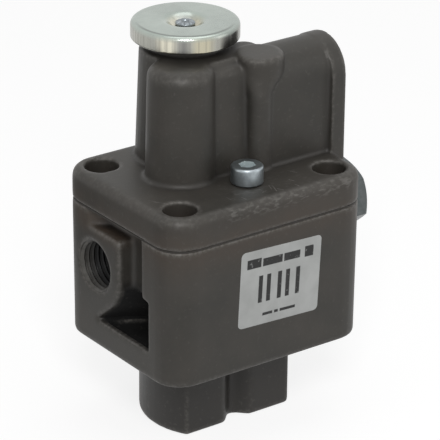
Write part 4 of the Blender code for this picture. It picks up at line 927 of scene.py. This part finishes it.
def make_floor():
    """A pale floor with the object's shadow. Its underside is clear, so a view from below works."""
    bpy.ops.mesh.primitive_plane_add(size=6.0, location=(0, 0, -0.2 * MM))
    floor = bpy.context.object
    floor.name = "floor"
    material = bpy.data.materials.new("floor")
    material.use_nodes = True
    tree = material.node_tree
    tree.nodes.clear()
    matt = put(tree, "ShaderNodeBsdfDiffuse", {"Color": (0.34, 0.34, 0.34, 1.0)})[0]
    seen = maths(tree, "MULTIPLY", show_background(tree), 0.80)
    glow = put(tree, "ShaderNodeEmission", {"Color": (1, 1, 1, 1), "Strength": seen})[0]
    both = put(tree, "ShaderNodeAddShader", {0: matt, 1: glow})[0]
    clear = put(tree, "ShaderNodeBsdfTransparent")[0]
    under = put(tree, "ShaderNodeNewGeometry")["Backfacing"]
    one_sided = put(tree, "ShaderNodeMixShader", {0: under, 1: both, 2: clear})[0]
    put(tree, "ShaderNodeOutputMaterial", {"Surface": one_sided})
    floor.data.materials.append(material)


def make_dark_card(name, place, size, turn):
    """A dark card outside the picture, only to be mirrored in the satin faces."""
    bpy.ops.mesh.primitive_plane_add(size=1.0, location=place, rotation=(0.0, 0.0, turn))
    card = bpy.context.object
    card.name = name
    card.scale = (*size, 1.0)
    material, _, _ = material_of(name, (0.02, 0.02, 0.02), 0.9, 0.0)
    card.data.materials.append(material)
    card.visible_camera = False
    card.visible_shadow = False


def make_world():
    """White where it is seen or mirrored, and a weaker even light for the rest."""
    world = bpy.data.worlds.new("studio")
    bpy.context.scene.world = world
    world.use_nodes = True
    tree = world.node_tree
    tree.nodes.clear()
    strength = spread(tree, show_background(tree), 0.0, 1.0, 0.20, 1.0)
    light = put(tree, "ShaderNodeBackground", {"Color": (1, 1, 1, 1), "Strength": strength})[0]
    put(tree, "ShaderNodeOutputWorld", {"Surface": light})


def make_lamp(name, place, size, power):
    """A soft rectangular lamp that points at the middle of the part."""
    aim = Vector((0, 0, 0.06))
    data = bpy.data.lights.new(name, "AREA")
    data.shape = "RECTANGLE"
    data.size, data.size_y = size
    data.energy = power
    lamp = bpy.data.objects.new(name, data)
    lamp.location = place
    lamp.rotation_euler = (aim - Vector(place)).to_track_quat("-Z", "Y").to_euler()
    bpy.context.scene.collection.objects.link(lamp)


def make_camera():
    """The photograph's viewpoint, found by fitting the bolt pattern and the outline; focal in pixels."""
    turn, tilt, roll = (math.radians(v) for v in (36.32, 23.94, 0.56))
    place = on_plan(-411.93, -562.62, 363.69)
    focal, picture_width = 2910.03, 440.0
    back = Vector((-math.sin(turn) * math.cos(tilt), -math.cos(turn) * math.cos(tilt), math.sin(tilt)))
    right = Vector((math.cos(turn), -math.sin(turn), 0))
    up = back.cross(right)
    across = right * math.cos(roll) + up * math.sin(roll)
    upward = up * math.cos(roll) - right * math.sin(roll)
    data = bpy.data.cameras.new("photo_camera")
    data.sensor_width = 36.0
    data.lens = focal / picture_width * data.sensor_width
    data.clip_start, data.clip_end = 0.01, 20.0
    camera = bpy.data.objects.new("photo_camera", data)
    rows = Matrix((across, upward, back)).transposed().to_4x4()
    camera.matrix_world = Matrix.Translation(place) @ rows
    bpy.context.scene.collection.objects.link(camera)
    bpy.context.scene.camera = camera


make_floor()
make_world()
make_dark_card("left_card", (-0.135, 0.095, 0.004), (0.10, 0.26), math.radians(-36.3))
make_lamp("key", (-0.52, -0.78, 0.82), (0.40, 0.40), 6.4)
make_lamp("top", (0.20, 0.10, 1.05), (0.7, 0.7), 1.6)
make_lamp("fill", (0.75, -0.70, 0.40), (0.5, 0.7), 0.9)
make_camera()
bpy.context.scene.view_settings.view_transform = "Standard"
